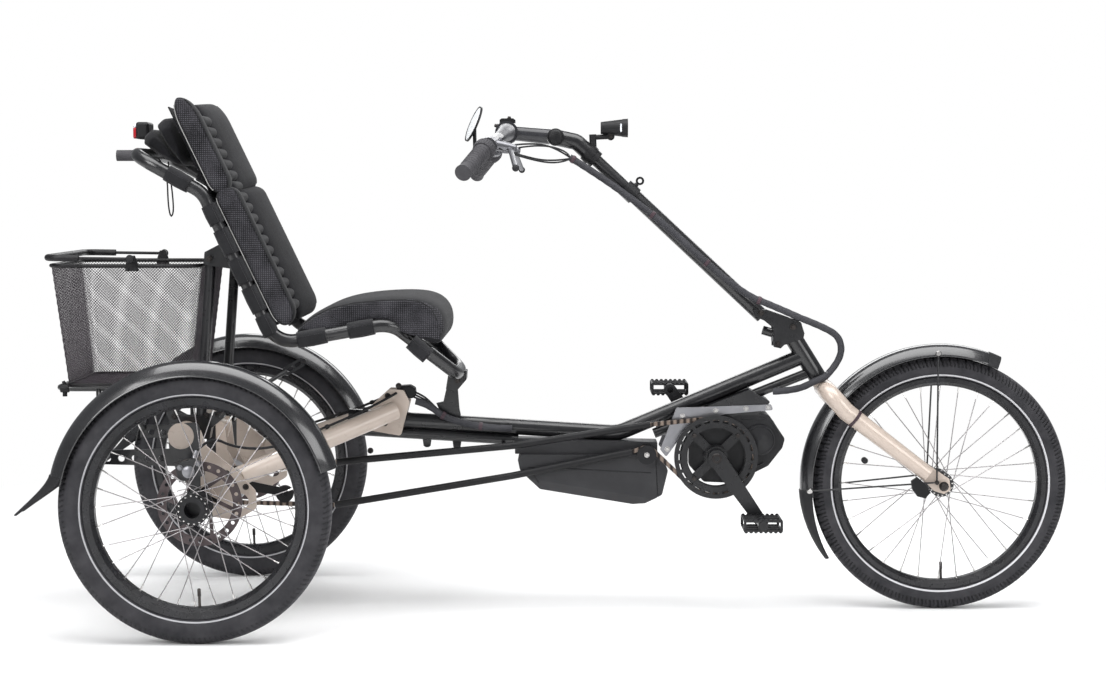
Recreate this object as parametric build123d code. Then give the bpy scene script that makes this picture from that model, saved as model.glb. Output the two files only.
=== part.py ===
"""Recumbent delta tricycle with electric assist: one steered front wheel, two rear wheels."""
import os
from math import asin, atan2, cos, degrees, hypot, radians, sin, sqrt

from build123d import *

# Main dimensions, millimetres and degrees. +X forward, +Y left, +Z up, ground at Z 0.
WHEELBASE = 1434.0
TRACK = 730.0
TYRE_R = 254.0
REAR_REACH = 330.0
HEAD_ANGLE = 58.0

# Clearances
SEAT = 0.3
RUN = 0.2
PIN_RUN = 0.25

# Wheels
SPOKE_COUNT = 32
SPOKE_R = 0.95
RIM_WELL = 8.0
RIM_W = 34.0
BEAD_HALF = 13.2
BEAD_LIP = 1.3
FRONT_FLANGE_R = 25.0
FLANGE_R = 29.5
FLANGE_T = 4.0
FRONT_SHELL_R = 19.0
HUB_SHELL_R = 20.0
FRONT_TYRE_H = 42.0
REAR_TYRE_H = 48.0
FRONT_TYRE_W = 47.0
REAR_TYRE_W = 50.0
FRONT_RIM_DEPTH = 16.0
REAR_RIM_DEPTH = 20.0
FRONT_FLANGE_Y = 30.0
REAR_FLANGE_Y = 28.0
HUB_FACE = 35.0
HUB_BORE_R = 15.0
HUB_BORE_DEPTH = 30.0
SHAFT_R = 10.0
DISC_R = 80.0
DISC_T = 2.0
DISC_INSET = 50.0
DISC_ARMS = 6

# Rear frame
SIDE_PLATE_IN = 130.0
SIDE_PLATE_T = 10.0
CROSS_X = -47.0
CROSS_Z = 119.0
CROSS_R = 22.0
ARM_R = 19.0
NOSE_PLATE_T = 8.0
HANGER_Y = 47.0
HANGER_T = 6.0
BEARING_R = 21.0

# Main beam
BEAM_R = 16.0
LOWER_R = 11.0
BEAM_REAR_X = 250.0
BEAM_REAR_Z = 132.0
SEAM_LEAD = 170.0
BEND_X = -193.0
BEND_Z = 41.0
LOWER_DROP = 26.0
HEAD_R = 18.0
HEAD_LEN = 88.0
HEAD_GAP = 70.0
HEAD_PLACE = 139.13
STEERER_R = 14.0

# Fork
BLADE_Y = 54.0
BLADE_TOP_R = 18.0
BLADE_LOW_R = 15.5
CROWN_DROP = 26.0
KNEE_PROUD = 0.4
DROPOUT_T = 6.0
FENDER_T = 2.5
FRONT_FENDER_EDGE = 3.0
FRONT_FENDER_CROWN = 26.0
FRONT_FENDER_HALF = 31.0
REAR_FENDER_EDGE = -7.0
REAR_FENDER_CROWN = 20.0
REAR_FENDER_HALF = 34.0

# Drive
CHAIN_OFF = 5.0
CRANK_GAP = 197.0
CRANK_Z = 58.0
CRANK_LEN = 148.0
CRANK_ANGLE = -55.0
CRANK_ARM_Y = 80.0
CRANK_ARM_T = 14.0
RING_R = 77.0
SPROCKET_R = 33.0
CHAIN_H = 8.5
CHAIN_W = 7.0
CHAIN_TUBE_R = 7.0
PEDAL_LEN = 76.0
PEDAL_W = 86.0
PEDAL_T = 26.0
MOTOR_RIGHT_Y = -40.0
MOTOR_LEFT_Y = 55.0
BATTERY_HALF = 45.0

# Mast and handlebar
PIVOT_BACK = 5.4
PIVOT_RISE = 27.4
MAST_ANGLE = 136.9
MAST_LOWER_R = 14.5
MAST_UPPER_R = 12.5
MAST_PLATE_Y = 23.0
MAST_PLATE_T = 5.0
BAR_R = 11.1
BAR_CLAMP_R = 15.9
KNUCKLE_BACK = 42.0
KNUCKLE_RISE = 9.0
STEM_BACK = 97.0
STEM_RISE = 9.0
GRIP_R = 17.5
GRIP_END_R = 14.0

# Seat, places from the rear axle
RAIL_Y = 190.0
RAIL_R = 13.0
STRUT_Y = 160.0
SHOE_T = 26.0
STRUT_R = 10.0

# Basket, places from the rear axle
BASKET_REAR_X = -312.0
BASKET_FRONT_X = -20.0
BASKET_HALF = 165.0
BASKET_TOP_Z = 440.0
BASKET_LOW_Z = 206.0
BASKET_TAPER = 27.0
BASKET_WALL = 2.0
RIM_WIRE_R = 4.0
BAIL_R = 3.0
RACK_R = 6.0
RACK_HALF = 125.0

SIDE_PLATE_Y = TRACK / 2 - SIDE_PLATE_IN
RACK_BAR_T = 6.0
RACK_BAR_Y = SIDE_PLATE_Y - SIDE_PLATE_T / 2 - SEAT - RACK_BAR_T / 2
CHAIN_Y = -(HANGER_Y + HANGER_T / 2 + CHAIN_OFF)
FRONT_LIP_R = TYRE_R - FRONT_TYRE_H
REAR_LIP_R = TYRE_R - REAR_TYRE_H
REAR_X = -(WHEELBASE + TYRE_R - REAR_REACH) / 2
FRONT_X = REAR_X + WHEELBASE
SIDES = (("right", -1), ("left", 1))
HEAD_UP = Vector(-cos(radians(HEAD_ANGLE)), 0, sin(radians(HEAD_ANGLE)))
HEAD_FWD = Vector(sin(radians(HEAD_ANGLE)), 0, cos(radians(HEAD_ANGLE)))
MAST_UP = Vector(cos(radians(MAST_ANGLE)), 0, sin(radians(MAST_ANGLE)))

nodes = {}


def rear(x, z, y=0.0):
    """Place measured forward and up from the rear axle."""
    return Vector(REAR_X + x, y, TYRE_R + z)


def front(x, z, y=0.0):
    """Place measured forward and up from the front axle."""
    return Vector(FRONT_X + x, y, TYRE_R + z)


def at_y(p, y):
    """The same place moved sideways to y."""
    return Vector(p.X, y, p.Z)


def rod(a, b, r):
    """Round bar between two places."""
    run = b - a
    return Solid.make_cylinder(r, run.length, Plane(origin=a, z_dir=run))


def taper(a, b, r0, r1):
    """Round tapered bar between two places."""
    run = b - a
    return Solid.make_cone(r0, r1, run.length, Plane(origin=a, z_dir=run))


def cross_rod(p, y0, y1, r):
    """Round bar across the vehicle."""
    return rod(at_y(p, y0), at_y(p, y1), r)


def tube(points, r, bend):
    """Round bar along straight runs joined by bends."""
    path = FilletPolyline(*points, radius=bend)
    section = Plane(origin=path @ 0, z_dir=path % 0) * Circle(r)
    return sweep(section, path=path)


def face_of(points, round_r=0.0):
    """Flat outline from a list of corners."""
    face = make_face(Polyline(*points, close=True))
    if round_r:
        face = fillet(face.vertices(), round_r)
    return face


def plate(points, y, thick, round_r=0.0):
    """Upright plate with corners given as places, centred on y."""
    face = face_of([(p.X, p.Z) for p in points], round_r)
    return extrude(Plane.XZ.offset(-y) * face, amount=thick / 2, both=True)


def ring(centre, points, start=0.0, arc=360.0):
    """Body of revolution about a cross axle; corners are (radius, sideways)."""
    a = radians(start)
    plane = Plane(origin=centre, x_dir=(cos(a), 0, sin(a)), z_dir=(-sin(a), 0, cos(a)))
    return revolve(plane * face_of(points), axis=Axis(centre, (0, -1, 0)), revolution_arc=arc)


def mirror_y(shape):
    """Copy on the other side of the vehicle."""
    return mirror(shape, about=Plane.XZ)


def fuse(*shapes):
    """One welded body."""
    return shapes[0].fuse(*shapes[1:]) if len(shapes) > 1 else shapes[0]


def polar(centre, r, angle, y=0.0):
    """Place on a circle in the side view."""
    return Vector(centre.X + r * cos(radians(angle)), y, centre.Z + r * sin(radians(angle)))


# Wheels: tyre, rim and spokes share one pattern
REAR_AXLE = rear(0, 0)
FRONT_AXLE = front(0, 0)
CRANK = front(-TYRE_R - CRANK_GAP, CRANK_Z)


def drive(x, z, y=0.0):
    """Place measured forward and up from the crank axle."""
    return Vector(CRANK.X + x, y, CRANK.Z + z)


RIGHT_AXLE = at_y(REAR_AXLE, -TRACK / 2)
LEFT_AXLE = at_y(REAR_AXLE, TRACK / 2)
WHEELS = (
    # name, centre, tyre width, lip radius, rim depth, flange radius, flange offset, spokes crossed
    ("front", FRONT_AXLE, FRONT_TYRE_W, FRONT_LIP_R, FRONT_RIM_DEPTH, FRONT_FLANGE_R, FRONT_FLANGE_Y, 2),
    ("rear_right", RIGHT_AXLE, REAR_TYRE_W, REAR_LIP_R, REAR_RIM_DEPTH, FLANGE_R, REAR_FLANGE_Y, 3),
    ("rear_left", LEFT_AXLE, REAR_TYRE_W, REAR_LIP_R, REAR_RIM_DEPTH, FLANGE_R, REAR_FLANGE_Y, 3),
)


def tyre(centre, width, lip_r):
    """Tyre carcass, oval in section, with its bead seated between the rim lips."""
    across = width / 2
    base = lip_r + SEAT
    well = lip_r - RIM_WELL + SEAT
    neck = sqrt(1 - ((BEAD_HALF + BEAD_LIP) / across) ** 2)
    high = (TYRE_R - base) / (1 + neck)
    low = -asin(neck)
    turn = radians(180) - 2 * low
    side = [low + turn * i / 8 for i in range(9)]
    outline = [(well, BEAD_HALF), (base, BEAD_HALF)]
    outline += [(TYRE_R - high + high * sin(a), across * cos(a)) for a in side]
    outline += [(base, -BEAD_HALF), (well, -BEAD_HALF)]
    return ring(centre, outline)


def rim(centre, lip_r, depth):
    """Deep rim with two lips."""
    half = RIM_W / 2
    lip = BEAD_HALF + SEAT
    inner = lip_r - depth
    outline = [(inner, 8), (inner + 7, half), (lip_r, half), (lip_r, lip), (lip_r - RIM_WELL, lip)]
    return ring(centre, outline + [(r, -y) for r, y in reversed(outline)])


def spokes(centre, inner, flange_r, flange, crossed):
    """Crossed wire spokes from both flanges into the rim."""
    per_side = SPOKE_COUNT // 2
    pitch = 360.0 / per_side
    hub_r = flange_r + SPOKE_R + SEAT
    wires = []
    for side in (-1, 1):
        for i in range(per_side):
            lead = 1 if i % 2 else -1
            hub_a = i * pitch + (pitch / 2 if side > 0 else 0)
            a = polar(centre, hub_r, hub_a, centre.Y + side * (flange + 3 * lead))
            b = polar(centre, inner + 3, hub_a + lead * crossed * pitch, centre.Y + side * 2.5)
            wires.append(rod(a, b, SPOKE_R))
    return wires


for name, centre, tyre_w, lip_r, depth, flange_r, flange, crossed in WHEELS:
    wires = spokes(centre, lip_r - depth, flange_r, flange, crossed)
    nodes[name + "_tyre"] = tyre(centre, tyre_w, lip_r)
    nodes[name + "_rim"] = fuse(rim(centre, lip_r, depth), *wires)

# Front hub turning on a fixed axle
AXLE_R = 5.0
AXLE_END = BLADE_Y + DROPOUT_T / 2 + 6
FRONT_HUB_HALF = BLADE_Y - DROPOUT_T / 2 - 1
half_hub = [
    (AXLE_R + RUN, FRONT_HUB_HALF),
    (11, FRONT_HUB_HALF),
    (13, FRONT_FLANGE_Y + FLANGE_T / 2 + 3),
    (FRONT_FLANGE_R, FRONT_FLANGE_Y + FLANGE_T / 2),
    (FRONT_FLANGE_R, FRONT_FLANGE_Y - FLANGE_T / 2),
    (FRONT_SHELL_R, FRONT_FLANGE_Y - FLANGE_T / 2 - 2),
]
nodes["front_hub"] = ring(FRONT_AXLE, half_hub + [(r, -y) for r, y in reversed(half_hub)])

# Rear hubs with their half shafts and brake discs
DIFF_WEB = 10.0
for side_name, s in SIDES:
    centre = at_y(REAR_AXLE, s * TRACK / 2)
    disc_face = DISC_INSET + 0.5
    shaft_end = TRACK / 2 - DIFF_WEB - 2
    flange_in = REAR_FLANGE_Y - FLANGE_T / 2
    flange_out = REAR_FLANGE_Y + FLANGE_T / 2
    outline = [
        (0, HUB_FACE - HUB_BORE_DEPTH),
        (HUB_BORE_R, HUB_FACE - HUB_BORE_DEPTH),
        (HUB_BORE_R, HUB_FACE),
        (HUB_BORE_R + 9, HUB_FACE),
        (HUB_BORE_R + 9, flange_out + 1),
        (FLANGE_R, flange_out),
        (FLANGE_R, flange_in),
        (HUB_SHELL_R, flange_in - 2),
        (HUB_SHELL_R, 2 - flange_in),
        (FLANGE_R, -flange_in),
        (FLANGE_R, -flange_out),
        (HUB_SHELL_R + 3, -flange_out - 1),
        (HUB_SHELL_R + 3, -disc_face),
        (SHAFT_R, -disc_face),
        (SHAFT_R, -shaft_end),
        (0, -shaft_end),
    ]
    hub = ring(centre, [(r, s * y) for r, y in outline])
    disc = Circle(DISC_R) - Circle(DISC_R * 0.78)
    for i in range(DISC_ARMS):
        arm = Pos(DISC_R * 0.53, 0) * Rot(0, 0, s * 26) * Rectangle(DISC_R * 0.68, DISC_R * 0.09)
        disc += Rot(0, 0, 360.0 * i / DISC_ARMS) * arm
    disc += Circle(HUB_SHELL_R + 4)
    disc -= Circle(SHAFT_R - 1)
    disc -= PolarLocations(DISC_R * 0.89, 4 * DISC_ARMS) * Circle(DISC_R * 0.045)
    disc_y = s * (TRACK / 2 - DISC_INSET - DISC_T / 2)
    disc_plane = Plane(origin=at_y(REAR_AXLE, disc_y), x_dir=(1, 0, 0), z_dir=(0, -1, 0))
    nodes["rear_hub_" + side_name] = fuse(hub, extrude(disc_plane * disc, amount=DISC_T / 2, both=True))

# Main beam: two stacked tubes, a bend, then the rise to the head tube
HEAD_LOW = polar(FRONT_AXLE, TYRE_R + HEAD_GAP, HEAD_PLACE)
HEAD_TOP = HEAD_LOW + HEAD_UP * HEAD_LEN
BEAM_REAR = rear(BEAM_REAR_X, BEAM_REAR_Z)
BEND = drive(BEND_X, BEND_Z)
BEAM_HEAD = HEAD_LOW + HEAD_UP * (HEAD_LEN * 0.58)
DOWN_HEAD = HEAD_LOW + HEAD_UP * 15


def beam_z(x):
    """Height of the upper tube's centre over a place along the vehicle."""
    a, b = (BEAM_REAR, BEND) if x <= BEND.X else (BEND, BEAM_HEAD)
    return a.Z + (x - a.X) * (b.Z - a.Z) / (b.X - a.X)


def on_beam(x, up=0.0, y=0.0):
    """Place above the upper tube's centre, x measured from the rear axle."""
    return Vector(REAR_X + x, y, beam_z(REAR_X + x) + up)


BEAM_SEAM_X = BEND.X - REAR_X - SEAM_LEAD


def on_boom(x, up=0.0, y=0.0):
    """Place above the boom tube's centre, x measured from the crank axle."""
    return on_beam(CRANK.X - REAR_X + x, up, y)


SEAM = on_beam(BEAM_SEAM_X)
beam_run = (BEND - BEAM_REAR).normalized()
upper_rear = rod(BEAM_REAR, SEAM, BEAM_R)
lower_rear = rod(on_beam(BEAM_REAR_X, -LOWER_DROP), on_beam(BEAM_SEAM_X - 30, -LOWER_DROP), LOWER_R)
SEAT_TAB_X = 452.0
TAB_TOP = 68.0
tab = [
    on_beam(SEAT_TAB_X - 24, 0),
    on_beam(SEAT_TAB_X + 26, 0),
    on_beam(SEAT_TAB_X + 20, 30),
    on_beam(SEAT_TAB_X + 17, TAB_TOP),
    on_beam(SEAT_TAB_X - 6, TAB_TOP),
    on_beam(SEAT_TAB_X - 12, 42),
    on_beam(SEAT_TAB_X - 26, 38),
    on_beam(SEAT_TAB_X - 20, 24),
]
nodes["rear_beam"] = fuse(upper_rear, lower_rear, plate(tab, 0, 10))

boom_path = FilletPolyline(SEAM + beam_run * 0.0, BEND, BEAM_HEAD, radius=70)
boom = sweep(Plane(origin=SEAM, z_dir=beam_run) * Circle(BEAM_R), path=boom_path)
DOWN_X = -121.0
DOWN_DROP = 31.0
down_tube = rod(on_boom(DOWN_X, -DOWN_DROP), DOWN_HEAD, LOWER_R - 1)
web = plate(
    [
        on_boom(DOWN_X + 4),
        on_boom(DOWN_X + 40),
        on_boom(DOWN_X + 40, -DOWN_DROP),
        on_boom(DOWN_X + 4, -DOWN_DROP),
    ],
    0,
    8,
)
head = rod(HEAD_LOW, HEAD_TOP, HEAD_R)
bore = rod(HEAD_LOW - HEAD_UP * 5, HEAD_TOP + HEAD_UP * 5, STEERER_R + PIN_RUN)
nodes["front_boom"] = fuse(boom, down_tube, web, head).cut(bore)

# Cream rear frame: side plates with the wheel bearings, cross tube, arms and nose plates
CROSS = rear(CROSS_X, CROSS_Z)
NOSE_TOP = on_beam(352, 50)
plate_outline = [
    rear(-30, -30),
    rear(58, -42),
    rear(96, -20),
    rear(94, 14),
    rear(52, 58),
    rear(0, 100),
    rear(CROSS_X + 32, CROSS_Z + 26),
    rear(CROSS_X - 26, CROSS_Z + 22),
    rear(CROSS_X - 22, CROSS_Z - 26),
    rear(-36, 24),
]
weldment = []
for side_name, s in SIDES:
    y = s * SIDE_PLATE_Y
    side = plate(plate_outline, y, SIDE_PLATE_T, 11)
    side = side.fuse(cross_rod(REAR_AXLE, y - 9, y + 9, BEARING_R))
    side = side.cut(cross_rod(REAR_AXLE, y - 20, y + 20, SHAFT_R + RUN))
    side = side.cut(cross_rod(rear(66, -6), y - 20, y + 20, 15))
    weldment.append(side)
    weldment.append(rod(rear(62, 40, s * (SIDE_PLATE_Y - 14)), on_beam(345, 22, s * 40), ARM_R))
    nose_y = s * (BEAM_R + SEAT + NOSE_PLATE_T / 2)
    nose = [
        on_beam(286, -LOWER_DROP + 4),
        on_beam(300, 30),
        on_beam(333, 62),
        on_beam(362, 62),
        on_beam(374, 40),
        on_beam(356, -LOWER_DROP - 4),
    ]
    pane = [rear(308, 126), rear(334, 145), rear(340, 133), rear(327, 115), rear(312, 115)]
    window = plate(pane, nose_y, 20, 2)
    weldment.append(plate(nose, nose_y, NOSE_PLATE_T, 6).cut(window))
    hanger = [
        rear(-40, -20),
        rear(34, -34),
        rear(40, 20),
        rear(12, 70),
        rear(6, 128),
        rear(-26, 128),
        rear(-30, 60),
    ]
    hang = plate(hanger, s * HANGER_Y, HANGER_T, 8)
    weldment.append(hang.cut(cross_rod(REAR_AXLE, s * 30, s * 70, SHAFT_R + 3)))
weldment.append(cross_rod(CROSS, -SIDE_PLATE_Y - 6, SIDE_PLATE_Y + 6, CROSS_R))
weldment.append(cross_rod(rear(-10, 112), -HANGER_Y - 2, HANGER_Y + 2, 14))
weldment.append(rod(CROSS, rear(10, 106), 16))
weldment.append(cross_rod(NOSE_TOP, -BEAM_R - 8, BEAM_R + 8, 10))
weldment.append(plate([rear(-14, 104), rear(-46, 108), rear(-46, 130), rear(-14, 126)], 0, 2 * HANGER_Y))
nodes["rear_frame"] = fuse(*weldment)

# Differential block on the axle and its sprocket
CHAIN_PITCH = 12.7


def link_drop(r):
    """How far the middle of a straight link lies inside a circle its ends lie on."""
    return r - sqrt(r * r - (CHAIN_PITCH / 2) ** 2)


DIFF_R = 46.0
DIFF_HALF = HANGER_Y - HANGER_T / 2 - SEAT
diff_outline = [(0, DIFF_HALF), (30, DIFF_HALF), (DIFF_R, DIFF_HALF - 14)]
diff = ring(REAR_AXLE, diff_outline + [(r, -y) for r, y in reversed(diff_outline)])
for side_name, s in SIDES:
    diff = diff.cut(cross_rod(REAR_AXLE, s * DIFF_WEB, s * 60, SHAFT_R + RUN))
sprocket_sketch = Circle(SPROCKET_R - CHAIN_H / 2 - 0.6 - link_drop(SPROCKET_R))
sprocket_sketch -= Circle(SHAFT_R + RUN)
sprocket_plane = Plane(origin=at_y(REAR_AXLE, CHAIN_Y), x_dir=(1, 0, 0), z_dir=(0, -1, 0))
collar_face = -(HANGER_Y + HANGER_T / 2 + SEAT)
collar_in = SHAFT_R + RUN
collar_end = CHAIN_Y - 3
collar = ring(
    REAR_AXLE,
    [(collar_in, collar_face), (18, collar_face), (18, collar_end), (collar_in, collar_end)],
)
drive_sprocket = fuse(extrude(sprocket_plane * sprocket_sketch, amount=1.5, both=True), collar)
nodes["differential"] = Compound([diff.solid(), drive_sprocket.solid()])

# Crank set turning in the motor
crank_dir = Vector(cos(radians(CRANK_ANGLE)), 0, sin(radians(CRANK_ANGLE)))
spindle = cross_rod(CRANK, -CRANK_ARM_Y - 4, CRANK_ARM_Y + 4, 10)
arms = []
for side_name, s in SIDES:
    reach = crank_dir * (CRANK_LEN * -s)
    tip = at_y(CRANK + reach, s * CRANK_ARM_Y)
    root = at_y(CRANK, s * CRANK_ARM_Y)
    shank = Plane(origin=root, x_dir=reach, z_dir=(0, -1, 0))
    outline = make_hull([*Circle(17).edges(), *(Pos(CRANK_LEN, 0) * Circle(12)).edges()])
    arm = extrude(shank * outline, amount=CRANK_ARM_T / 2, both=True)
    arms.append(arm.cut(cross_rod(tip, s * (CRANK_ARM_Y - 20), s * (CRANK_ARM_Y + 20), 6 + PIN_RUN)))
nodes["crank"] = fuse(spindle, *arms)
RING_BACK = CHAIN_Y + 1.5
ring_sketch = Circle(RING_R - CHAIN_H / 2 - 0.6) - Circle(RING_R * 0.74)
RING_ARMS = 4
arm_pitch = 360.0 / RING_ARMS
for i in range(RING_ARMS):
    ring_sketch += Rot(0, 0, arm_pitch * (i + 0.5)) * (Pos(RING_R * 0.44, 0) * Rectangle(RING_R * 0.7, 17))
ring_sketch += Circle(24)
ring_sketch -= Circle(10 + SEAT)
ring_plane = Plane(origin=at_y(CRANK, CHAIN_Y), x_dir=(1, 0, 0), z_dir=(0, -1, 0))
GUARD_R = 83.0
GUARD_Y = CHAIN_Y - CHAIN_W / 2 - 4
GUARD_SLOTS = 24
guard_sketch = Circle(GUARD_R) - Circle(RING_R * 0.76)
guard_sketch -= PolarLocations(RING_R * 0.93, GUARD_SLOTS) * Rectangle(5, 12)
guard_plane = Plane(origin=at_y(CRANK, GUARD_Y), x_dir=(1, 0, 0), z_dir=(0, -1, 0))
guard = extrude(guard_plane * guard_sketch, amount=1.5, both=True)
ring_disc = extrude(ring_plane * ring_sketch, amount=1.5, both=True)
posts = []
for i in range(RING_ARMS):
    post = polar(CRANK, RING_R * 0.79, arm_pitch * (i + 0.5))
    posts.append(cross_rod(post, GUARD_Y - 4, CHAIN_Y, 4))
boss_in = 10 + SEAT
boss_end = SEAT + CRANK_ARM_T / 2 - CRANK_ARM_Y
boss = ring(CRANK, [(boss_in, CHAIN_Y), (22, CHAIN_Y), (22, boss_end), (boss_in, boss_end)])
nodes["chainring"] = fuse(ring_disc, boss, *posts, guard)

for side_name, s in SIDES:
    tip = CRANK + crank_dir * (CRANK_LEN * -s)
    inner = CRANK_ARM_Y + CRANK_ARM_T / 2 + 4
    body = Pos(tip.X, s * (inner + PEDAL_W / 2), tip.Z) * Box(PEDAL_LEN, PEDAL_W, PEDAL_T)
    body = fillet(body.edges().filter_by(Axis.Y), 6)
    window = Box(PEDAL_LEN * 0.3, PEDAL_W * 0.62, PEDAL_T + 2)
    for shift in (-PEDAL_LEN * 0.27, PEDAL_LEN * 0.27):
        body -= Pos(tip.X + shift, s * (inner + PEDAL_W / 2), tip.Z) * window
    axle = cross_rod(tip, s * (CRANK_ARM_Y - CRANK_ARM_T / 2 + 1), s * (inner + 10), 6)
    nodes["pedal_" + side_name] = fuse(body, axle)

# Motor, its plates, the battery and its cradle
motor_outline = [
    drive(-53, 18),
    drive(-31, 52),
    drive(45, 82),
    drive(106, 82),
    drive(138, 34),
    drive(133, 16),
    drive(105, -20),
    drive(81, -32),
    drive(27, -54),
    drive(-23, -52),
    drive(-53, -18),
]
motor = plate(motor_outline, (MOTOR_RIGHT_Y + MOTOR_LEFT_Y) / 2, MOTOR_LEFT_Y - MOTOR_RIGHT_Y, 9)
motor = motor.fuse(cross_rod(drive(88, 32), MOTOR_RIGHT_Y - 5, MOTOR_RIGHT_Y + 1, 31))
nodes["motor"] = motor.cut(cross_rod(CRANK, -100, 100, 10 + RUN))
motor_plate_outline = [
    drive(-78, 96),
    drive(110, 103),
    drive(114, 92),
    drive(20, 84),
    drive(-40, 68),
    drive(-66, 42),
    drive(-98, -2),
    drive(-110, 13),
]
PLATE_T = 4.0
plate_y = -MOTOR_RIGHT_Y + SEAT + PLATE_T / 2
nodes["motor_plates"] = Compound([plate(motor_plate_outline, y, PLATE_T, 3) for y in (-plate_y, plate_y)])

gusset = [on_boom(-15, -16), on_boom(67, -18), on_boom(109, -60), on_boom(81, -78), on_boom(-15, -40)]
hanger_web = plate(gusset, 0, 2 * (-MOTOR_RIGHT_Y), 3).cut(nodes["motor"])
nodes["front_boom"] = fuse(nodes["front_boom"], hanger_web)

CRADLE_LOW = 6.0
battery_outline = [
    drive(-395, CRADLE_LOW - 4),
    drive(-389, -28),
    drive(-349, -68),
    drive(-164, -98),
    drive(-140, -96),
    drive(-106, -78),
    drive(-94, -28),
    drive(-115, CRADLE_LOW - 4),
]
battery = plate(battery_outline, 0, 2 * BATTERY_HALF, 10)
BEVEL = 14.0
keel_a = drive(-349, -68)
keel_run = (drive(-164, -98) - keel_a).normalized()
keel_plane = Plane(origin=keel_a - keel_run * 60, x_dir=(0, 1, 0), z_dir=keel_run)
for side_name, s in SIDES:
    wide = s * (BATTERY_HALF + 1)
    bevel = [(wide, -5), (wide, BEVEL + 6), (s * (BATTERY_HALF - BEVEL), -5)]
    battery = battery.cut(extrude(keel_plane * face_of(bevel), amount=340))
seam_line = [drive(-121, 20), drive(-119, 20), drive(-112, -110), drive(-114, -110)]
seam = plate(seam_line, 0, 2 * BATTERY_HALF + 10)
core_corners = [drive(-200, 40), drive(-60, 40), drive(-60, -120), drive(-200, -120)]
seam -= plate(core_corners, 0, 2 * BATTERY_HALF - 5)
nodes["battery"] = battery.cut(seam)
cradle_z = CRADLE_LOW - 4 + SEAT
cradle = plate([drive(-399, cradle_z), drive(-115, cradle_z), drive(-115, 26), drive(-399, 32)], 0, 60, 2)
nodes["battery_cradle"] = cradle.cut(nodes["front_boom"], nodes["rear_beam"])

# Chain runs in two guide tubes
UP_REAR = rear(232, 47, CHAIN_Y)
UP_MID = drive(-398, 22, CHAIN_Y)
UP_FRONT = drive(-131, 64, CHAIN_Y)
LOW_REAR = rear(227, -39, CHAIN_Y)
LOW_MID = drive(-402, -38, CHAIN_Y)
LOW_FRONT = drive(-166, 10, CHAIN_Y)
upper_guide = tube([UP_REAR, UP_MID, UP_FRONT], CHAIN_TUBE_R, 400)
lower_guide = tube([LOW_REAR, LOW_MID, LOW_FRONT], CHAIN_TUBE_R, 400)
CLIP_BACK = 25.0
clip_at = UP_MID - Vector(CLIP_BACK, 0, 2)
clip_seat = rod(on_beam(BEAM_REAR_X, -LOWER_DROP), on_beam(BEAM_SEAM_X - 30, -LOWER_DROP), LOWER_R + SEAT)
tube_clip = cross_rod(clip_at, CHAIN_Y, -LOWER_R * 0.6, 4).cut(clip_seat)
nodes["chain_tubes"] = Compound([fuse(upper_guide, tube_clip).solid(), lower_guide.solid()])

# Chain: the lengths that show outside the guide tubes
IDLER = drive(-137, 4, CHAIN_Y)
IDLER_R = 15.0
CHAIN_LEAD = 1.4
CHAIN_LAP = 2.2


def touch(p, c, r, sign):
    """Angle at which a straight run from p meets a circle round c."""
    away = degrees(atan2(p.Z - c.Z, p.X - c.X))
    return away + sign * degrees(atan2(sqrt((p - c).length ** 2 - r * r), r))


def chain_links(edges):
    """Chain along a path: wide outer links and narrow inner links that reach into one another."""
    path = Wire(edges)
    count = round(path.length / CHAIN_PITCH)
    links = []
    for i in range(count):
        a = path @ (i / count)
        b = path @ ((i + 1) / count)
        wide = CHAIN_W if i % 2 else CHAIN_W - 2.4
        lap = CHAIN_LAP if 0 < i < count - 1 else 0.0
        middle = (a + b) * 0.5
        plane = Plane(origin=middle, x_dir=b - a, z_dir=(0, -1, 0))
        high = CHAIN_H if i % 2 else CHAIN_H - 0.6
        links.append(extrude(plane * Rectangle((b - a).length + 2 * lap, high), amount=wide / 2, both=True))
    return fuse(*links)


ring_c = at_y(CRANK, CHAIN_Y)
top_a = touch(UP_FRONT, ring_c, RING_R, -1)
gap_run = ring_c - IDLER
lean = degrees(atan2(gap_run.Z, gap_run.X)) - degrees(asin((RING_R + IDLER_R) / gap_run.length)) + 90
low_a = lean - 180
idler_a = touch(LOW_FRONT, IDLER, IDLER_R, -1)
ring_in = polar(ring_c, RING_R, top_a, CHAIN_Y)
ring_mid = polar(ring_c, RING_R, (top_a + low_a) / 2, CHAIN_Y)
ring_out = polar(ring_c, RING_R, low_a, CHAIN_Y)
idler_in = polar(IDLER, IDLER_R, lean, CHAIN_Y)
idler_mid = polar(IDLER, IDLER_R, (lean + idler_a) / 2, CHAIN_Y)
idler_out = polar(IDLER, IDLER_R, idler_a, CHAIN_Y)
front_chain = chain_links(
    [
        Line(UP_FRONT + (ring_in - UP_FRONT).normalized() * CHAIN_LEAD, ring_in),
        ThreePointArc(ring_in, ring_mid, ring_out),
        Line(ring_out, idler_in),
        ThreePointArc(idler_in, idler_mid, idler_out),
        Line(idler_out, LOW_FRONT + (idler_out - LOW_FRONT).normalized() * CHAIN_LEAD),
    ]
)
sprocket_c = at_y(REAR_AXLE, CHAIN_Y)
back_top = touch(UP_REAR, sprocket_c, SPROCKET_R, 1)
back_low = touch(LOW_REAR, sprocket_c, SPROCKET_R, -1) + 360
spr_in = polar(sprocket_c, SPROCKET_R, back_top, CHAIN_Y)
spr_mid = polar(sprocket_c, SPROCKET_R, (back_top + back_low) / 2, CHAIN_Y)
spr_out = polar(sprocket_c, SPROCKET_R, back_low, CHAIN_Y)
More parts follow.
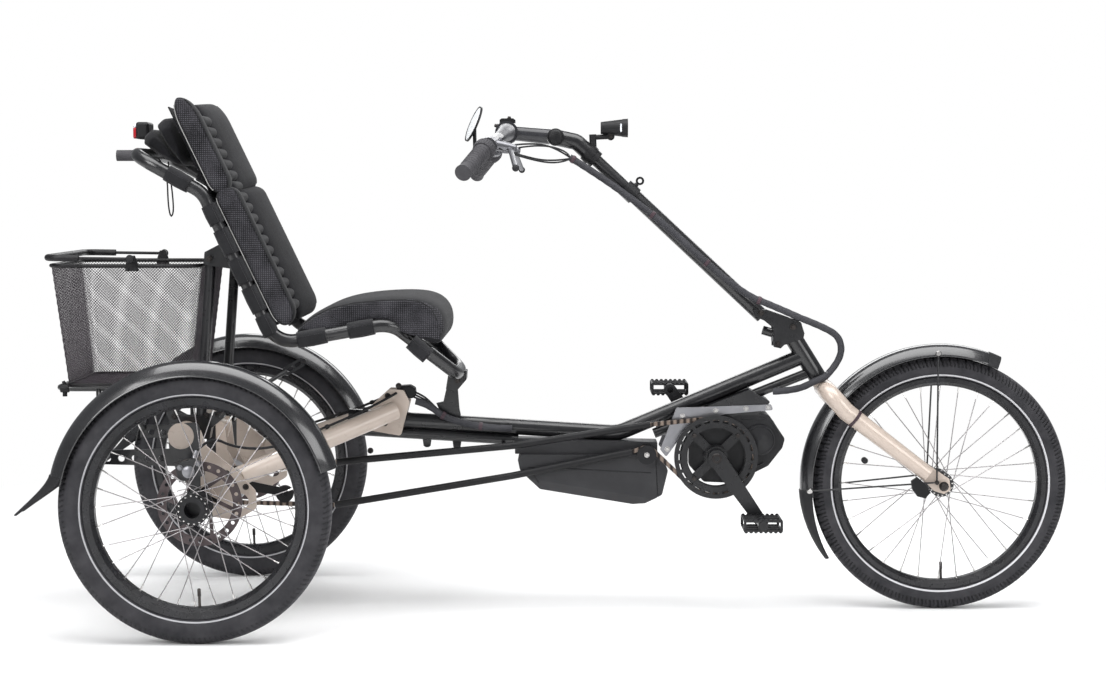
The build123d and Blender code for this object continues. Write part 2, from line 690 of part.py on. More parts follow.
rear_chain = chain_links(
    [
        Line(UP_REAR + (spr_in - UP_REAR).normalized() * CHAIN_LEAD, spr_in),
        ThreePointArc(spr_in, spr_mid, spr_out),
        Line(spr_out, LOW_REAR + (spr_out - LOW_REAR).normalized() * CHAIN_LEAD),
    ]
)
nodes["chain"] = Compound([front_chain.solid(), rear_chain.solid()])

idler_y0 = CHAIN_Y - CHAIN_W / 2 - 1.5
idler_y1 = CHAIN_Y + CHAIN_W / 2 + 1.5
idler_root = IDLER_R - CHAIN_H / 2 - 0.6 - link_drop(IDLER_R)
idler_lip = IDLER_R + 4
idler = ring(
    at_y(IDLER, 0),
    [
        (3, idler_y0 - 1.5),
        (idler_lip, idler_y0 - 1.5),
        (idler_lip, idler_y0),
        (idler_root, idler_y0),
        (idler_root, idler_y1),
        (idler_lip, idler_y1),
        (idler_lip, idler_y1 + 1.5),
        (3, idler_y1 + 1.5),
    ],
)
bracket_y = idler_y1 + 1.5 + SEAT + 1
arm_corners = ((-9, -9), (9, -9), (9, 22), (-9, 22))
arm = plate([IDLER + Vector(x, 0, z) for x, z in arm_corners], bracket_y, 2, 4)
idler_bolt = cross_rod(IDLER, idler_y0 - 3, bracket_y, 3 - SEAT / 2)
cradle_bolt = cross_rod(IDLER + Vector(0, 0, 13), bracket_y, -30 - SEAT, 4)
idler_bracket = fuse(arm, idler_bolt, cradle_bolt)
nodes["chain_idler"] = Compound([idler.solid(), idler_bracket.solid()])

# Fenders, flaps and their stays

def fender_shell(centre, y, edge, crown, half, start, arc):
    """Thin strip with an arched section, turned about an axle; edge and crown stand off the tyre."""
    low = TYRE_R + edge
    top = TYRE_R + crown
    outer = ThreePointArc((low, y - half), (top, y), (low, y + half))
    inner = ThreePointArc((low, y + half - FENDER_T), (top - FENDER_T, y), (low, y - half + FENDER_T))
    section = make_face([outer, Line(outer @ 1, inner @ 0), inner, Line(inner @ 1, outer @ 0)])
    a = radians(start)
    plane = Plane(origin=centre, x_dir=(cos(a), 0, sin(a)), z_dir=(-sin(a), 0, cos(a)))
    return revolve(plane * section, axis=Axis(centre, (0, -1, 0)), revolution_arc=arc)


FRONT_FENDER_START = 66.0
FRONT_FENDER_ARC = 120.0
REAR_FENDER_START = 16.0
REAR_FENDER_ARC = 156.0
front_end = FRONT_FENDER_START + FRONT_FENDER_ARC
FRONT_FLAP_ARC = 30.0
front_sizes = (FRONT_FENDER_EDGE, FRONT_FENDER_CROWN, FRONT_FENDER_HALF)
front_shell = fender_shell(FRONT_AXLE, 0, *front_sizes, FRONT_FENDER_START, FRONT_FENDER_ARC)
front_flap = fender_shell(
    FRONT_AXLE,
    0,
    FRONT_FENDER_EDGE + 5,
    FRONT_FENDER_CROWN - 1.2,
    FRONT_FENDER_HALF,
    front_end - 3,
    FRONT_FLAP_ARC,
)
nodes["front_fender"] = fuse(front_shell, front_flap)
STAY_R = 1.8
stays = []
for side_name, s in SIDES:
    eyelet = BLADE_Y + DROPOUT_T / 2 + SEAT
    foot = front(-14, 8, s * (eyelet + STAY_R + 5))
    pair = [cross_rod(foot, s * eyelet, s * (eyelet + 10), 3.5)]
    for angle in (92.0, 183.0):
        clip_y = s * (FRONT_FENDER_HALF + STAY_R + SEAT)
        clip = polar(FRONT_AXLE, TYRE_R + FRONT_FENDER_EDGE + 1, angle, clip_y)
        pair.append(rod(foot, clip, STAY_R))
    stays.append(fuse(*pair).solid())
nodes["front_stays"] = Compound(stays)

REAR_STAYS = (
    # foot, side place of the face that carries it, angle of the clip on the fender
    (rear(CROSS_X + 60, CROSS_Z + 35), STRUT_Y + SHOE_T / 2, 61.0),
    (rear(-203, 77), RACK_BAR_Y + RACK_BAR_T / 2, 157.0),
)
fenders = []
rear_stays = []
calipers = []

for side_name, s in SIDES:
    y = s * TRACK / 2
    rear_sizes = (REAR_FENDER_EDGE, REAR_FENDER_CROWN, REAR_FENDER_HALF)
    shell = fender_shell(REAR_AXLE, y, *rear_sizes, REAR_FENDER_START, REAR_FENDER_ARC)
    end = REAR_FENDER_START + REAR_FENDER_ARC - 1.5
    flap = [
        polar(REAR_AXLE, TYRE_R + 8, end),
        polar(REAR_AXLE, TYRE_R + REAR_FENDER_CROWN - 0.8, end),
        rear(-REAR_REACH, -2),
        rear(-REAR_REACH + 6, -9),
    ]
    fenders.append(fuse(shell, plate(flap, y, 2 * REAR_FENDER_HALF - 8)).solid())
    for foot, face, angle in REAR_STAYS:
        low_y = face + SEAT
        low = at_y(foot, s * (low_y + 8))
        clip_y = TRACK / 2 - REAR_FENDER_HALF - SEAT
        top = polar(REAR_AXLE, TYRE_R + REAR_FENDER_EDGE + 1, angle, s * (clip_y - 5))
        root = cross_rod(foot, s * low_y, s * (low_y + 10), 6)
        clip = cross_rod(top, s * (clip_y - 9), s * clip_y, 7)
        run = (top - low).normalized()
        face_dir = Vector(0, -1, 0) + run * run.Y
        strap_plane = Plane(origin=top - run * 30, x_dir=run, z_dir=face_dir)
        strap_sketch = SlotOverall(66, 19)
        for shift in (-13, 13):
            strap_sketch -= Pos(shift, 0) * SlotOverall(22, 8)
        strap = extrude(strap_plane * strap_sketch, amount=2, both=True)
        stay = fuse(rod(low, top - run * 56, 4.5), root, clip, strap)
        rear_stays.append(stay.solid())
    disc_y = s * (TRACK / 2 - DISC_INSET - DISC_T / 2)
    grip_at = polar(REAR_AXLE, DISC_R * 0.85, 105, disc_y)
    grip_plane = Plane(origin=grip_at, x_dir=(0, 1, 0), z_dir=grip_at - at_y(REAR_AXLE, disc_y))
    block = grip_plane * Box(30, 46, 36)
    slot = ring(at_y(REAR_AXLE, disc_y), [(0, -2), (DISC_R + 4, -2), (DISC_R + 4, 2), (0, 2)])
    arm = cross_rod(grip_at, s * (SIDE_PLATE_Y + SIDE_PLATE_T / 2 + SEAT), disc_y - s * 10, 10)
    calipers.append(fuse(arm, block).cut(slot).solid())
nodes["rear_fenders"] = Compound(fenders)
nodes["rear_stays"] = Compound(rear_stays)
nodes["brake_calipers"] = Compound(calipers)

# Fork with its axle
CROWN = HEAD_LOW - HEAD_UP * CROWN_DROP
knees = [front(-194, 148, s * BLADE_Y) for side_name, s in SIDES]
arch = tube([knees[0], at_y(CROWN, -BLADE_Y), at_y(CROWN, BLADE_Y), knees[1]], BLADE_TOP_R, 34)
fork_parts = [arch, rod(CROWN, HEAD_TOP + HEAD_UP * SEAT, STEERER_R)]
fork_parts.append(rod(HEAD_LOW - HEAD_UP * 14, HEAD_LOW - HEAD_UP * 0.6, HEAD_R - 1))
for side_name, s in SIDES:
    knee = front(-194, 148, s * BLADE_Y)
    fork_parts.append(Pos(knee) * Sphere(BLADE_TOP_R + KNEE_PROUD))
    fork_parts.append(taper(knee, front(-30, 23, s * BLADE_Y), BLADE_TOP_R, BLADE_LOW_R))
    lug = [
        front(-52, 48),
        front(-30, 42),
        front(12, 14),
        front(15, -8),
        front(2, -16),
        front(-18, -10),
        front(-58, 30),
    ]
    fork_parts.append(plate(lug, s * BLADE_Y, DROPOUT_T, 4))
fork_parts.append(cross_rod(FRONT_AXLE, -AXLE_END, AXLE_END, AXLE_R))
nodes["fork"] = fuse(*fork_parts)

# Steerer head with the mast hinge
PIVOT = HEAD_TOP + Vector(-PIVOT_BACK, 0, PIVOT_RISE)


def near_pivot(x, z, y=0.0):
    """Place measured from the mast hinge."""
    return Vector(PIVOT.X + x, y, PIVOT.Z + z)


STOP_X = -34.0
HINGE_PIN_R = 6.0
head_outline = [
    (STOP_X + SEAT, -28),
    (STOP_X + SEAT, -16),
    (-14, 2),
    (-12, 14),
    (6, 17),
    (18, 6),
    (20, -12),
    (6, -25),
    (-14, -36),
]
head_half = MAST_PLATE_Y - MAST_PLATE_T / 2 - 0.5
head_block = plate([near_pivot(x, z) for x, z in head_outline], 0, 2 * head_half)
neck = rod(HEAD_TOP + HEAD_UP * (2 * SEAT), HEAD_TOP + HEAD_UP * 14, HEAD_R - 1)
pin_bore = cross_rod(PIVOT, -60, 60, HINGE_PIN_R + PIN_RUN)
nodes["steerer_head"] = fuse(head_block, neck).cut(pin_bore)

MAST_COLLAR = 407.0
MAST_ELBOW = MAST_COLLAR + 145.0
LAMP_RUN = MAST_COLLAR + 99.0
MAST_BASE = near_pivot(-27, -10)


def on_mast(run, y=0.0):
    """Place along the mast's centre line."""
    p = MAST_BASE + MAST_UP * run
    return Vector(p.X, y, p.Z)


side_outline = [
    (-80, 34),
    (-54, 34),
    (-14, 20),
    (16, 9),
    (23, -13),
    (21, -23),
    (-17, -36),
    (-24, -43),
    (-38, -40),
    (-39, -2),
    (-56, 12),
    (-77, 21),
]
cheek_corners = [near_pivot(x, z) for x, z in side_outline]
cheeks = [plate(cheek_corners, s * MAST_PLATE_Y, MAST_PLATE_T) for side_name, s in SIDES]
filler_outline = [(-80, 34), (-54, 34), (-40, 28), (-44, 8), (-56, 12), (-77, 21)]
filler = plate([near_pivot(x, z) for x, z in filler_outline], 0, 2 * MAST_PLATE_Y)
stop_outline = [(STOP_X - 5, -30), (STOP_X, -30), (STOP_X, -8), (STOP_X - 5, -4)]
stop = plate([near_pivot(x, z) for x, z in stop_outline], 0, 2 * MAST_PLATE_Y)
hinge_pin = cross_rod(PIVOT, -MAST_PLATE_Y - 6, MAST_PLATE_Y + 6, HINGE_PIN_R)
lower_mast = rod(on_mast(44), on_mast(MAST_COLLAR), MAST_LOWER_R)
collar = rod(on_mast(MAST_COLLAR - 14), on_mast(MAST_COLLAR + 14), MAST_LOWER_R + 4)
knob = rod(near_pivot(STOP_X - 4, -14), near_pivot(STOP_X - 24, -8), 9)
socket = rod(on_mast(MAST_COLLAR - 30), on_mast(MAST_COLLAR + 30), MAST_UPPER_R + SEAT)
nodes["mast_lower"] = fuse(lower_mast, collar, *cheeks, filler, stop, hinge_pin, knob).cut(socket)

KNUCKLE = on_mast(MAST_ELBOW) + Vector(-KNUCKLE_BACK, 0, KNUCKLE_RISE)
upper_mast = tube([on_mast(MAST_COLLAR - 29), on_mast(MAST_ELBOW), KNUCKLE], MAST_UPPER_R, 25)
KNUCKLE_R = 17.0
NECK_R = 16.5
NECK_LEN = 36.0
neck = tube([on_mast(MAST_ELBOW - NECK_LEN), on_mast(MAST_ELBOW), KNUCKLE], NECK_R, 25)
nodes["mast_upper"] = fuse(upper_mast, neck, cross_rod(KNUCKLE, -22, 22, KNUCKLE_R))

BAR = KNUCKLE + Vector(-STEM_BACK, 0, STEM_RISE)
stem_start = KNUCKLE + (BAR - KNUCKLE).normalized() * (KNUCKLE_R - 6)
stem_ring = cross_rod(BAR, -20, 20, BAR_CLAMP_R + 7)
stem = fuse(taper(stem_start, BAR, 15.5, 14), stem_ring)
stem = stem.cut(cross_rod(KNUCKLE, -40, 40, KNUCKLE_R + SEAT))
nodes["stem"] = stem.cut(cross_rod(BAR, -40, 40, BAR_CLAMP_R + SEAT))

BAR_SHOULDER = 45.0
GRIP_IN = Vector(-34, 196, -33)
GRIP_OUT = Vector(-72, 310, -80)
bar_points = []
grips = []
levers = []
for side_name, s in SIDES:
    inner = at_y(BAR + GRIP_IN, s * GRIP_IN.Y)
    outer = at_y(BAR + GRIP_OUT, s * GRIP_OUT.Y)
    shoulder = at_y(BAR, s * BAR_SHOULDER)
    bar_points += [outer, inner, shoulder] if s < 0 else [shoulder, inner, outer]
    run = (outer - inner).normalized()
    grip = taper(inner + run * 6, outer + run * 4, GRIP_R, GRIP_END_R)
    flange = taper(inner + run * 5.6, inner + run * 24, GRIP_R + 4, GRIP_R + 2)
    flare = taper(outer - run * 14, outer + run * 3.4, GRIP_END_R, GRIP_END_R + 2)
    grips.append(fuse(grip, flange, flare).cut(rod(inner - run * 10, outer + run * SEAT, BAR_R + SEAT)))
    along = (shoulder - inner).normalized()
    clamp_at = inner + along * 24
    clamp = rod(clamp_at - along * 9, clamp_at + along * 9, BAR_R + 6)
    tip = outer + Vector(96, -s * 24, 8)
    mid = clamp_at + Vector(40, 0, -6)
    lever = tube([clamp_at, mid, tip], 5, 14)
    levers.append(fuse(clamp, lever).cut(rod(clamp_at - along * 20, clamp_at + along * 20, BAR_R + SEAT)))
bar = tube(bar_points, BAR_R, 40)
nodes["handlebar"] = fuse(bar, cross_rod(BAR, -BAR_SHOULDER + 12, BAR_SHOULDER - 12, BAR_CLAMP_R))
nodes["grips"] = Compound([g.solid() for g in grips])
nodes["brake_levers"] = Compound([v.solid() for v in levers])

LAMP = on_mast(LAMP_RUN) + Vector(41, 0, 58.7)
LAMP_HALF = 27.0
lamp_body = taper(LAMP - Vector(LAMP_HALF, 0, 0), LAMP + Vector(LAMP_HALF - 10, 0, 0), 12, 17.4)
lamp_bezel = taper(LAMP + Vector(LAMP_HALF - 11, 0, 0), LAMP + Vector(LAMP_HALF, 0, 0), 17.8, 18.6)
lens_recess = rod(LAMP + Vector(LAMP_HALF - 3, 0, 0), LAMP + Vector(LAMP_HALF + 5, 0, 0), 16)
lamp_ring = rod(on_mast(LAMP_RUN - 8), on_mast(LAMP_RUN + 8), MAST_UPPER_R + 5)
lamp_post = on_mast(LAMP_RUN) + Vector(-2, 0, 40)
lamp_joint = LAMP + Vector(-7, 0, -17)
lamp_parts = [
    lamp_bezel,
    lamp_ring,
    rod(on_mast(LAMP_RUN), lamp_post + Vector(0, 0, 6), 7),
    rod(lamp_post, lamp_joint, 5),
    cross_rod(lamp_joint, -9, 9, 7.5),
]
lamp_seat = rod(on_mast(LAMP_RUN - 48), on_mast(LAMP_RUN + 47), MAST_UPPER_R + SEAT)
neck_seat = rod(on_mast(MAST_ELBOW - NECK_LEN - SEAT), on_mast(MAST_ELBOW), NECK_R + SEAT)
nodes["headlamp"] = fuse(lamp_body, *lamp_parts).cut(lamp_seat, neck_seat, lens_recess)

mirror_out = BAR + GRIP_OUT
mirror_run = (GRIP_OUT - GRIP_IN).normalized()
MIRROR = mirror_out + Vector(-8, 28, 106)
mirror_n = Vector(-0.9, -0.22, 0.39).normalized()
glass = rod(MIRROR - mirror_n * 2.2, MIRROR + mirror_n * 2.2, 40)
stalk = rod(mirror_out + mirror_run * (4 + SEAT), mirror_out + mirror_run * 18, 8)
stem_rod = rod(mirror_out + mirror_run * 13, MIRROR - mirror_n * 1.6, 4)
glass_recess = rod(MIRROR + mirror_n * 1.2, MIRROR + mirror_n * 8, 37.5)
nodes["mirror"] = fuse(glass, stalk, stem_rod).cut(glass_recess)

# Seat frame: one bent tube each side, joined at the push handle and at the front
SEAT_TOP = rear(-140, 654)
SEAT_SHOULDER = rear(-8, 581)
SEAT_LOW = rear(130, 291)
SEAT_HUMP = rear(350, 331)
SEAT_NOSE = rear(470, 224)
rail_points = [
    SEAT_TOP,
    at_y(SEAT_TOP, -RAIL_Y),
    at_y(SEAT_SHOULDER, -RAIL_Y),
    at_y(SEAT_LOW, -RAIL_Y),
    at_y(SEAT_HUMP, -RAIL_Y),
    at_y(SEAT_NOSE, -70),
    SEAT_NOSE,
]
rail = tube(rail_points, RAIL_R, 52)
ear_y = RAIL_Y - RAIL_R - 2
EYE = rear(2, 455)
ear_low = EYE + Vector(-12, 0, -12)
ear_high = EYE + Vector(-10, 0, 12)
ear = plate([ear_low, ear_high, rear(40, 492), rear(66, 456), rear(50, 434)], -ear_y, 6, 3)
ear = ear.cut(cross_rod(EYE, -ear_y - 20, -ear_y + 20, 5 + RUN))
seat_half = fuse(rail, ear)
nodes["seat_frame"] = fuse(seat_half, mirror_y(seat_half))

back_up = (SEAT_SHOULDER - SEAT_LOW).normalized()
back_fwd = Vector(back_up.Z, 0, -back_up.X)


def on_back(run, off):
    """Place up the backrest and forward of its rails."""
    return SEAT_LOW + back_up * run + back_fwd * off


SLING_T = 4.0
pad_off = RAIL_R + SEAT
SLING_OFF = pad_off - SEAT - SLING_T
PAD_IN = 64.0
PAD_OUT = RAIL_Y + 4
sling_front = SLING_OFF + SLING_T
sling_ends = ((30, SLING_OFF), (500, SLING_OFF), (500, sling_front), (30, sling_front))
sling = [on_back(run, off) for run, off in sling_ends]
nodes["back_sling"] = plate(sling, 0, 2 * (ear_y - 3 - SEAT))
PADS = (
    # name, lower end, upper end, inner edge thickness, outer edge thickness, round of lower and upper ends
    ("back_pads_lower", 34.0, 306.0, 26.0, 52.0, 26.0, 14.0),
    ("back_pads_upper", 312.0, 508.0, 24.0, 46.0, 14.0, 44.0),
)
for name, low, high, thin, thick, low_round, high_round in PADS:
    pads = []
    for side_name, s in SIDES:
        flat = Plane(origin=on_back(low, pad_off), x_dir=(0, -1, 0), z_dir=back_up)
        wedge = [(-s * PAD_IN, 0), (-s * PAD_OUT, 0), (-s * PAD_OUT, thick), (-s * PAD_IN, thin)]
        body = extrude(flat * face_of(wedge, 9), amount=high - low)
        rounds = []
        for run, r in ((low + low_round, low_round), (high - high_round, high_round)):
            rounds += (Pos(-s * (PAD_IN + r), run) * Circle(r)).edges()
            rounds += (Pos(-s * (PAD_OUT - r), run) * Circle(r)).edges()
        upright = Plane(origin=on_back(0, pad_off - 1), x_dir=(0, -1, 0), z_dir=-back_fwd)
        cutter = extrude(upright * make_hull(rounds), amount=-thick - 20)
        pads.append(body.intersect(cutter).solid())
    nodes[name] = Compound(pads)
CENTRE_T = 26.0
centre_front = pad_off + CENTRE_T
centre_ends = ((40, pad_off), (480, pad_off), (480, centre_front), (40, centre_front))
centre_pad = [on_back(run, off) for run, off in centre_ends]
nodes["back_pad_centre"] = plate(centre_pad, 0, 2 * (PAD_IN - 2), 6)

seat_fwd = (SEAT_HUMP - SEAT_LOW).normalized()
seat_up = Vector(-seat_fwd.Z, 0, seat_fwd.X)


def on_seat(run, off):
    """Place forward along the seat rails and above them."""
    return SEAT_LOW + seat_fwd * run + seat_up * off


seat_outline = [
    on_seat(82, RAIL_R + SEAT),
    on_seat(236, RAIL_R + SEAT),
    rear(418, 318),
    rear(448, 300),
    rear(458, 326),
    rear(425, 368),
    rear(361, 386),
    rear(290, 378),
    rear(214, 354),
]
nodes["seat_pad"] = plate(seat_outline, 0, 2 * (RAIL_Y - 2), 6)

saddle = [
    on_beam(SEAT_TAB_X - 6, TAB_TOP + SEAT),
    on_beam(SEAT_TAB_X + 17, TAB_TOP + SEAT),
    rear(487, 208),
    rear(488, 226),
    rear(452, 226),
]
seat_saddle = plate(saddle, 0, 46, 2).cut(cross_rod(SEAT_NOSE, -50, 50, RAIL_R + SEAT))

STRUT_FOOT = Vector(25, 0, 12)
SHOE_OUTLINE = (
    (-26, -4),
    (-40, 40),
    (-28, 46),
    (-2, 32),
    (24, 30),
    (66, 42),
    (74, 30),
    (48, 8),
    (44, -14),
    (12, -10),
)
struts = []
for side_name, s in SIDES:
    foot = at_y(CROSS + STRUT_FOOT, s * STRUT_Y)
    top = at_y(EYE, s * STRUT_Y)
    shoe = plate([CROSS + Vector(x, 0, z) for x, z in SHOE_OUTLINE], s * STRUT_Y, SHOE_T, 4)
    pin = cross_rod(EYE, s * (STRUT_Y - 6), s * (ear_y + 2), 5)
    struts.append(fuse(rod(foot, top, STRUT_R), shoe, pin).cut(cross_rod(CROSS, -300, 300, CROSS_R + SEAT)))
nodes["seat_mounts"] = Compound([seat_saddle.solid()] + [v.solid() for v in struts])

# Head pouch, rear lamp and pole socket on the push handle
pouch = [
    rear(-126, 704),
    rear(-116, 734),
    rear(-84, 740),
    on_back(470, SLING_OFF - SEAT),
    on_back(380, SLING_OFF - SEAT),
    rear(-118, 680),
]
nodes["head_pouch"] = plate(pouch, 0, 200, 6).cut(cross_rod(SEAT_TOP, -300, 300, RAIL_R + SEAT))
SOCKET_BORE_R = 6.5
SOCKET_R = 11.0
SOCKET_OUT = 56.0
socket_root = SEAT_TOP + Vector(-RAIL_R + 6, 0, 0)
pole_socket = rod(socket_root, SEAT_TOP + Vector(-RAIL_R - SOCKET_OUT, 0, 0), SOCKET_R)
pole_socket = pole_socket.cut(cross_rod(SEAT_TOP, -60, 60, RAIL_R + SEAT))
bore_start = SEAT_TOP + Vector(-RAIL_R - 12, 0, 0)
bore_end = SEAT_TOP + Vector(-RAIL_R - SOCKET_OUT - 5, 0, 0)
pole_bore = rod(bore_start, bore_end, SOCKET_BORE_R)
nodes["pole_socket"] = pole_socket.cut(pole_bore)
REAR_LAMP = rear(-153, 703)
lamp = Pos(REAR_LAMP) * Box(26, 60, 34)
lamp_foot = rod(SEAT_TOP + Vector(4, 0, RAIL_R - 2), REAR_LAMP, 5)
nodes["rear_lamp"] = fuse(fillet(lamp.edges(), 6), lamp_foot).cut(
    cross_rod(SEAT_TOP, -60, 60, RAIL_R + SEAT), nodes["head_pouch"]
)

# Basket, its bail handle and the rack
BASKET_MID = (BASKET_REAR_X + BASKET_FRONT_X) / 2
BASKET_LEN = BASKET_FRONT_X - BASKET_REAR_X


def basket_form(inset, low):
    """Tapered tub between its bottom and its rim."""
    share = (low - BASKET_LOW_Z) / (BASKET_TOP_Z - BASKET_LOW_Z)
    draw = 2 * BASKET_TAPER * (1 - share) + 2 * inset
    bottom = RectangleRounded(BASKET_LEN - draw, 2 * BASKET_HALF - draw, 22)
    top = RectangleRounded(BASKET_LEN - 2 * inset, 2 * BASKET_HALF - 2 * inset, 30)
    return loft([Pos(rear(BASKET_MID, low)) * bottom, Pos(rear(BASKET_MID, BASKET_TOP_Z)) * top])


tub = basket_form(0, BASKET_LOW_Z) - basket_form(BASKET_WALL, BASKET_LOW_Z + BASKET_WALL)
rim_path = Pos(rear(BASKET_MID, BASKET_TOP_Z)) * RectangleRounded(BASKET_LEN, 2 * BASKET_HALF, 30).wire()
rim_plane = Plane(origin=rim_path @ 0, z_dir=rim_path % 0)
rim_wire = sweep(rim_plane * Circle(RIM_WIRE_R), path=rim_path)
BAIL_X = -150.0
BAIL_Z = BASKET_TOP_Z + 14
BAIL_Y = BASKET_HALF + 14
BAIL_END_X = -314.0
BAIL_PIN_R = 3.5
posts = []
for side_name, s in SIDES:
    p = rear(BAIL_X, BAIL_Z)
    lug = [
        rear(BAIL_X - 12, BASKET_TOP_Z - 2),
        rear(BAIL_X + 12, BASKET_TOP_Z - 2),
        rear(BAIL_X + 7, BAIL_Z + 7),
        rear(BAIL_X - 7, BAIL_Z + 7),
    ]
    posts.append(plate(lug, s * (BASKET_HALF + 2), 5))
    posts.append(cross_rod(p, s * (BASKET_HALF + 2), s * (BAIL_Y + 7), BAIL_PIN_R))
nodes["basket"] = fuse(tub, rim_wire, *posts)
bail_points = [
    rear(BAIL_X - 5, BAIL_Z, -BAIL_Y),
    rear(BAIL_END_X, BAIL_Z + 2, -BAIL_Y),
    rear(BAIL_END_X, BAIL_Z + 2, BAIL_Y),
    rear(BAIL_X - 5, BAIL_Z, BAIL_Y),
]
eyes = [cross_rod(rear(BAIL_X, BAIL_Z), s * (BAIL_Y - 4), s * (BAIL_Y + 4), 7) for side_name, s in SIDES]
FOAM_R = 6.5
FOAM_LEN = 64.0
near_end = bail_points[1] + (bail_points[0] - bail_points[1]).normalized() * FOAM_LEN
far_end = bail_points[2] + (bail_points[3] - bail_points[2]).normalized() * FOAM_LEN
bail_grip = tube([near_end, bail_points[1], bail_points[2], far_end], FOAM_R, 25)
bail = fuse(tube(bail_points, BAIL_R, 25), *eyes, bail_grip)
nodes["basket_handle"] = bail.cut(cross_rod(rear(BAIL_X, BAIL_Z), -300, 300, BAIL_PIN_R + PIN_RUN))

RACK_Z = BASKET_LOW_Z - RACK_R - SEAT
RACK_REAR_X = -306.0
RACK_FRONT_X = -6.0
rack_mid = (RACK_REAR_X + RACK_FRONT_X) / 2
rack_len = RACK_FRONT_X - RACK_REAR_X
rack_wire = Pos(rear(rack_mid, RACK_Z)) * RectangleRounded(rack_len, 2 * RACK_HALF, 28).wire()
rack_plane = Plane(origin=rack_wire @ 0, z_dir=rack_wire % 0)
rack_loop = sweep(rack_plane * Circle(RACK_R), path=rack_wire)
rack_parts = [rack_loop]
bars = []
for x in (-250.0, -140.0, CROSS_X):
    rack_parts.append(cross_rod(rear(x, RACK_Z), -RACK_HALF, RACK_HALF, RACK_R - 1.2))
for side_name, s in SIDES:
    bar_end = rear(-205, 82, s * (RACK_BAR_Y - RACK_BAR_T / 2 - SEAT - RACK_R))
    rack_parts.append(rod(bar_end, rear(-226, RACK_Z, s * RACK_HALF), RACK_R - 0.8))
    shoe = rear(CROSS_X, CROSS_Z + CROSS_R + SEAT, s * 105)
    rack_parts.append(rod(shoe, rear(CROSS_X, RACK_Z, s * 105), RACK_R - 2))
    bar_corners = [rear(-214, 64), rear(-212, 90), rear(-48, 94), rear(-48, 60)]
    bar = plate(bar_corners, s * RACK_BAR_Y, RACK_BAR_T, 4)
    for i in range(5):
        hole = rear(-189 + 26 * i, 75)
        bar = bar.cut(cross_rod(hole, s * RACK_BAR_Y - 10, s * RACK_BAR_Y + 10, 6.5))
    bars.append(bar.solid())
nodes["rack"] = Compound([fuse(*rack_parts).solid()] + bars)

# Cable loom: along the mast, a free loop to the fork crown, a free length to the frame
LOOM_R = 6.0
loom_side = -(MAST_PLATE_Y + MAST_PLATE_T / 2 + LOOM_R + SEAT + 6)
mast_loom = [
    at_y(KNUCKLE + Vector(28, 0, -40), -24),
    on_mast(MAST_COLLAR - 20, -(MAST_LOWER_R + 4 + LOOM_R + SEAT)),
    on_mast(120, loom_side),
    near_pivot(-30, 38, loom_side),
    near_pivot(12, 19, loom_side),
]
nodes["loom_mast"] = tube(mast_loom, LOOM_R, 40)
loom_end = near_pivot(12, 19, loom_side)
loom_run = (loom_end - near_pivot(-30, 38, loom_side)).normalized()
nodes["loom_loop"] = tube(
    [
        loom_end + loom_run * SEAT,
        near_pivot(84, -14, loom_side),
        near_pivot(92, -62, loom_side + 2),
        near_pivot(70, -92, loom_side + 3),
    ],
    LOOM_R,
    24,
)
low_run = (near_pivot(70, -92, loom_side + 3) - near_pivot(92, -62, loom_side + 2)).normalized()
low_start = near_pivot(70, -92, loom_side + 3) + low_run * SEAT
nodes["loom_front"] = tube(
    [
        low_start,
        low_start + low_run * 8,
        near_pivot(48, -102, loom_side + 2),
        near_pivot(6, -126, -36),
        near_pivot(-40, -128, -34),
    ],
    LOOM_R,
    18,
)
loom_beam = -(BEAM_R + LOOM_R + SEAT)
nodes["loom_rear"] = tube(
    [
        on_beam(386, 42, -30),
        on_beam(410, 38, -30),
        on_beam(446, 10, loom_beam),
        on_beam(520, -4, loom_beam),
        on_beam(578, -2, loom_beam),
    ],
    LOOM_R,
    26,
)

os.makedirs("parts", exist_ok=True)
for name, shape in nodes.items():
    export_step(shape, "parts/" + name + ".step")
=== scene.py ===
"""Finish of the recumbent delta tricycle: materials, soft goods, small parts, studio and camera."""

from functools import partial
from math import asin, cos, pi, radians, sin, sqrt

import bmesh
import bpy
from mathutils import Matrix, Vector


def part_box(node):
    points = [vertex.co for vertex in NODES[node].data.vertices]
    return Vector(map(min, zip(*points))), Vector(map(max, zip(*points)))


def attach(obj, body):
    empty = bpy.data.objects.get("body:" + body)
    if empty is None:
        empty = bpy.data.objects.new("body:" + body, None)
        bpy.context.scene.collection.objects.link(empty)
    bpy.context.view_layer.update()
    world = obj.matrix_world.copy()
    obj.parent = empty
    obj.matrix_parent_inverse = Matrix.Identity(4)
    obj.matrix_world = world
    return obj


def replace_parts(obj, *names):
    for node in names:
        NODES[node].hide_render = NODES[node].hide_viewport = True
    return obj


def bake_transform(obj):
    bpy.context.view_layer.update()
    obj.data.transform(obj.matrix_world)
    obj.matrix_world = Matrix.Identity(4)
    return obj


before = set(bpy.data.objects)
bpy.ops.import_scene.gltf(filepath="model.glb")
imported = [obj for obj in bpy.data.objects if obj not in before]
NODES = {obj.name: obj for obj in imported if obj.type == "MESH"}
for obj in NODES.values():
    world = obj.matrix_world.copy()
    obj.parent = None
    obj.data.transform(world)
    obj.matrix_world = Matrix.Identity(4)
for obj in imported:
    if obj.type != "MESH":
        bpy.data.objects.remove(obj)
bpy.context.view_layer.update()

MM = 0.001
X_DIR = Vector((1, 0, 0))
Y_DIR = Vector((0, 1, 0))
Z_DIR = Vector((0, 0, 1))


# Places, read from the frame or given in millimetres from an axle
def middle(node):
    low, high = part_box(node)
    return (low + high) / 2


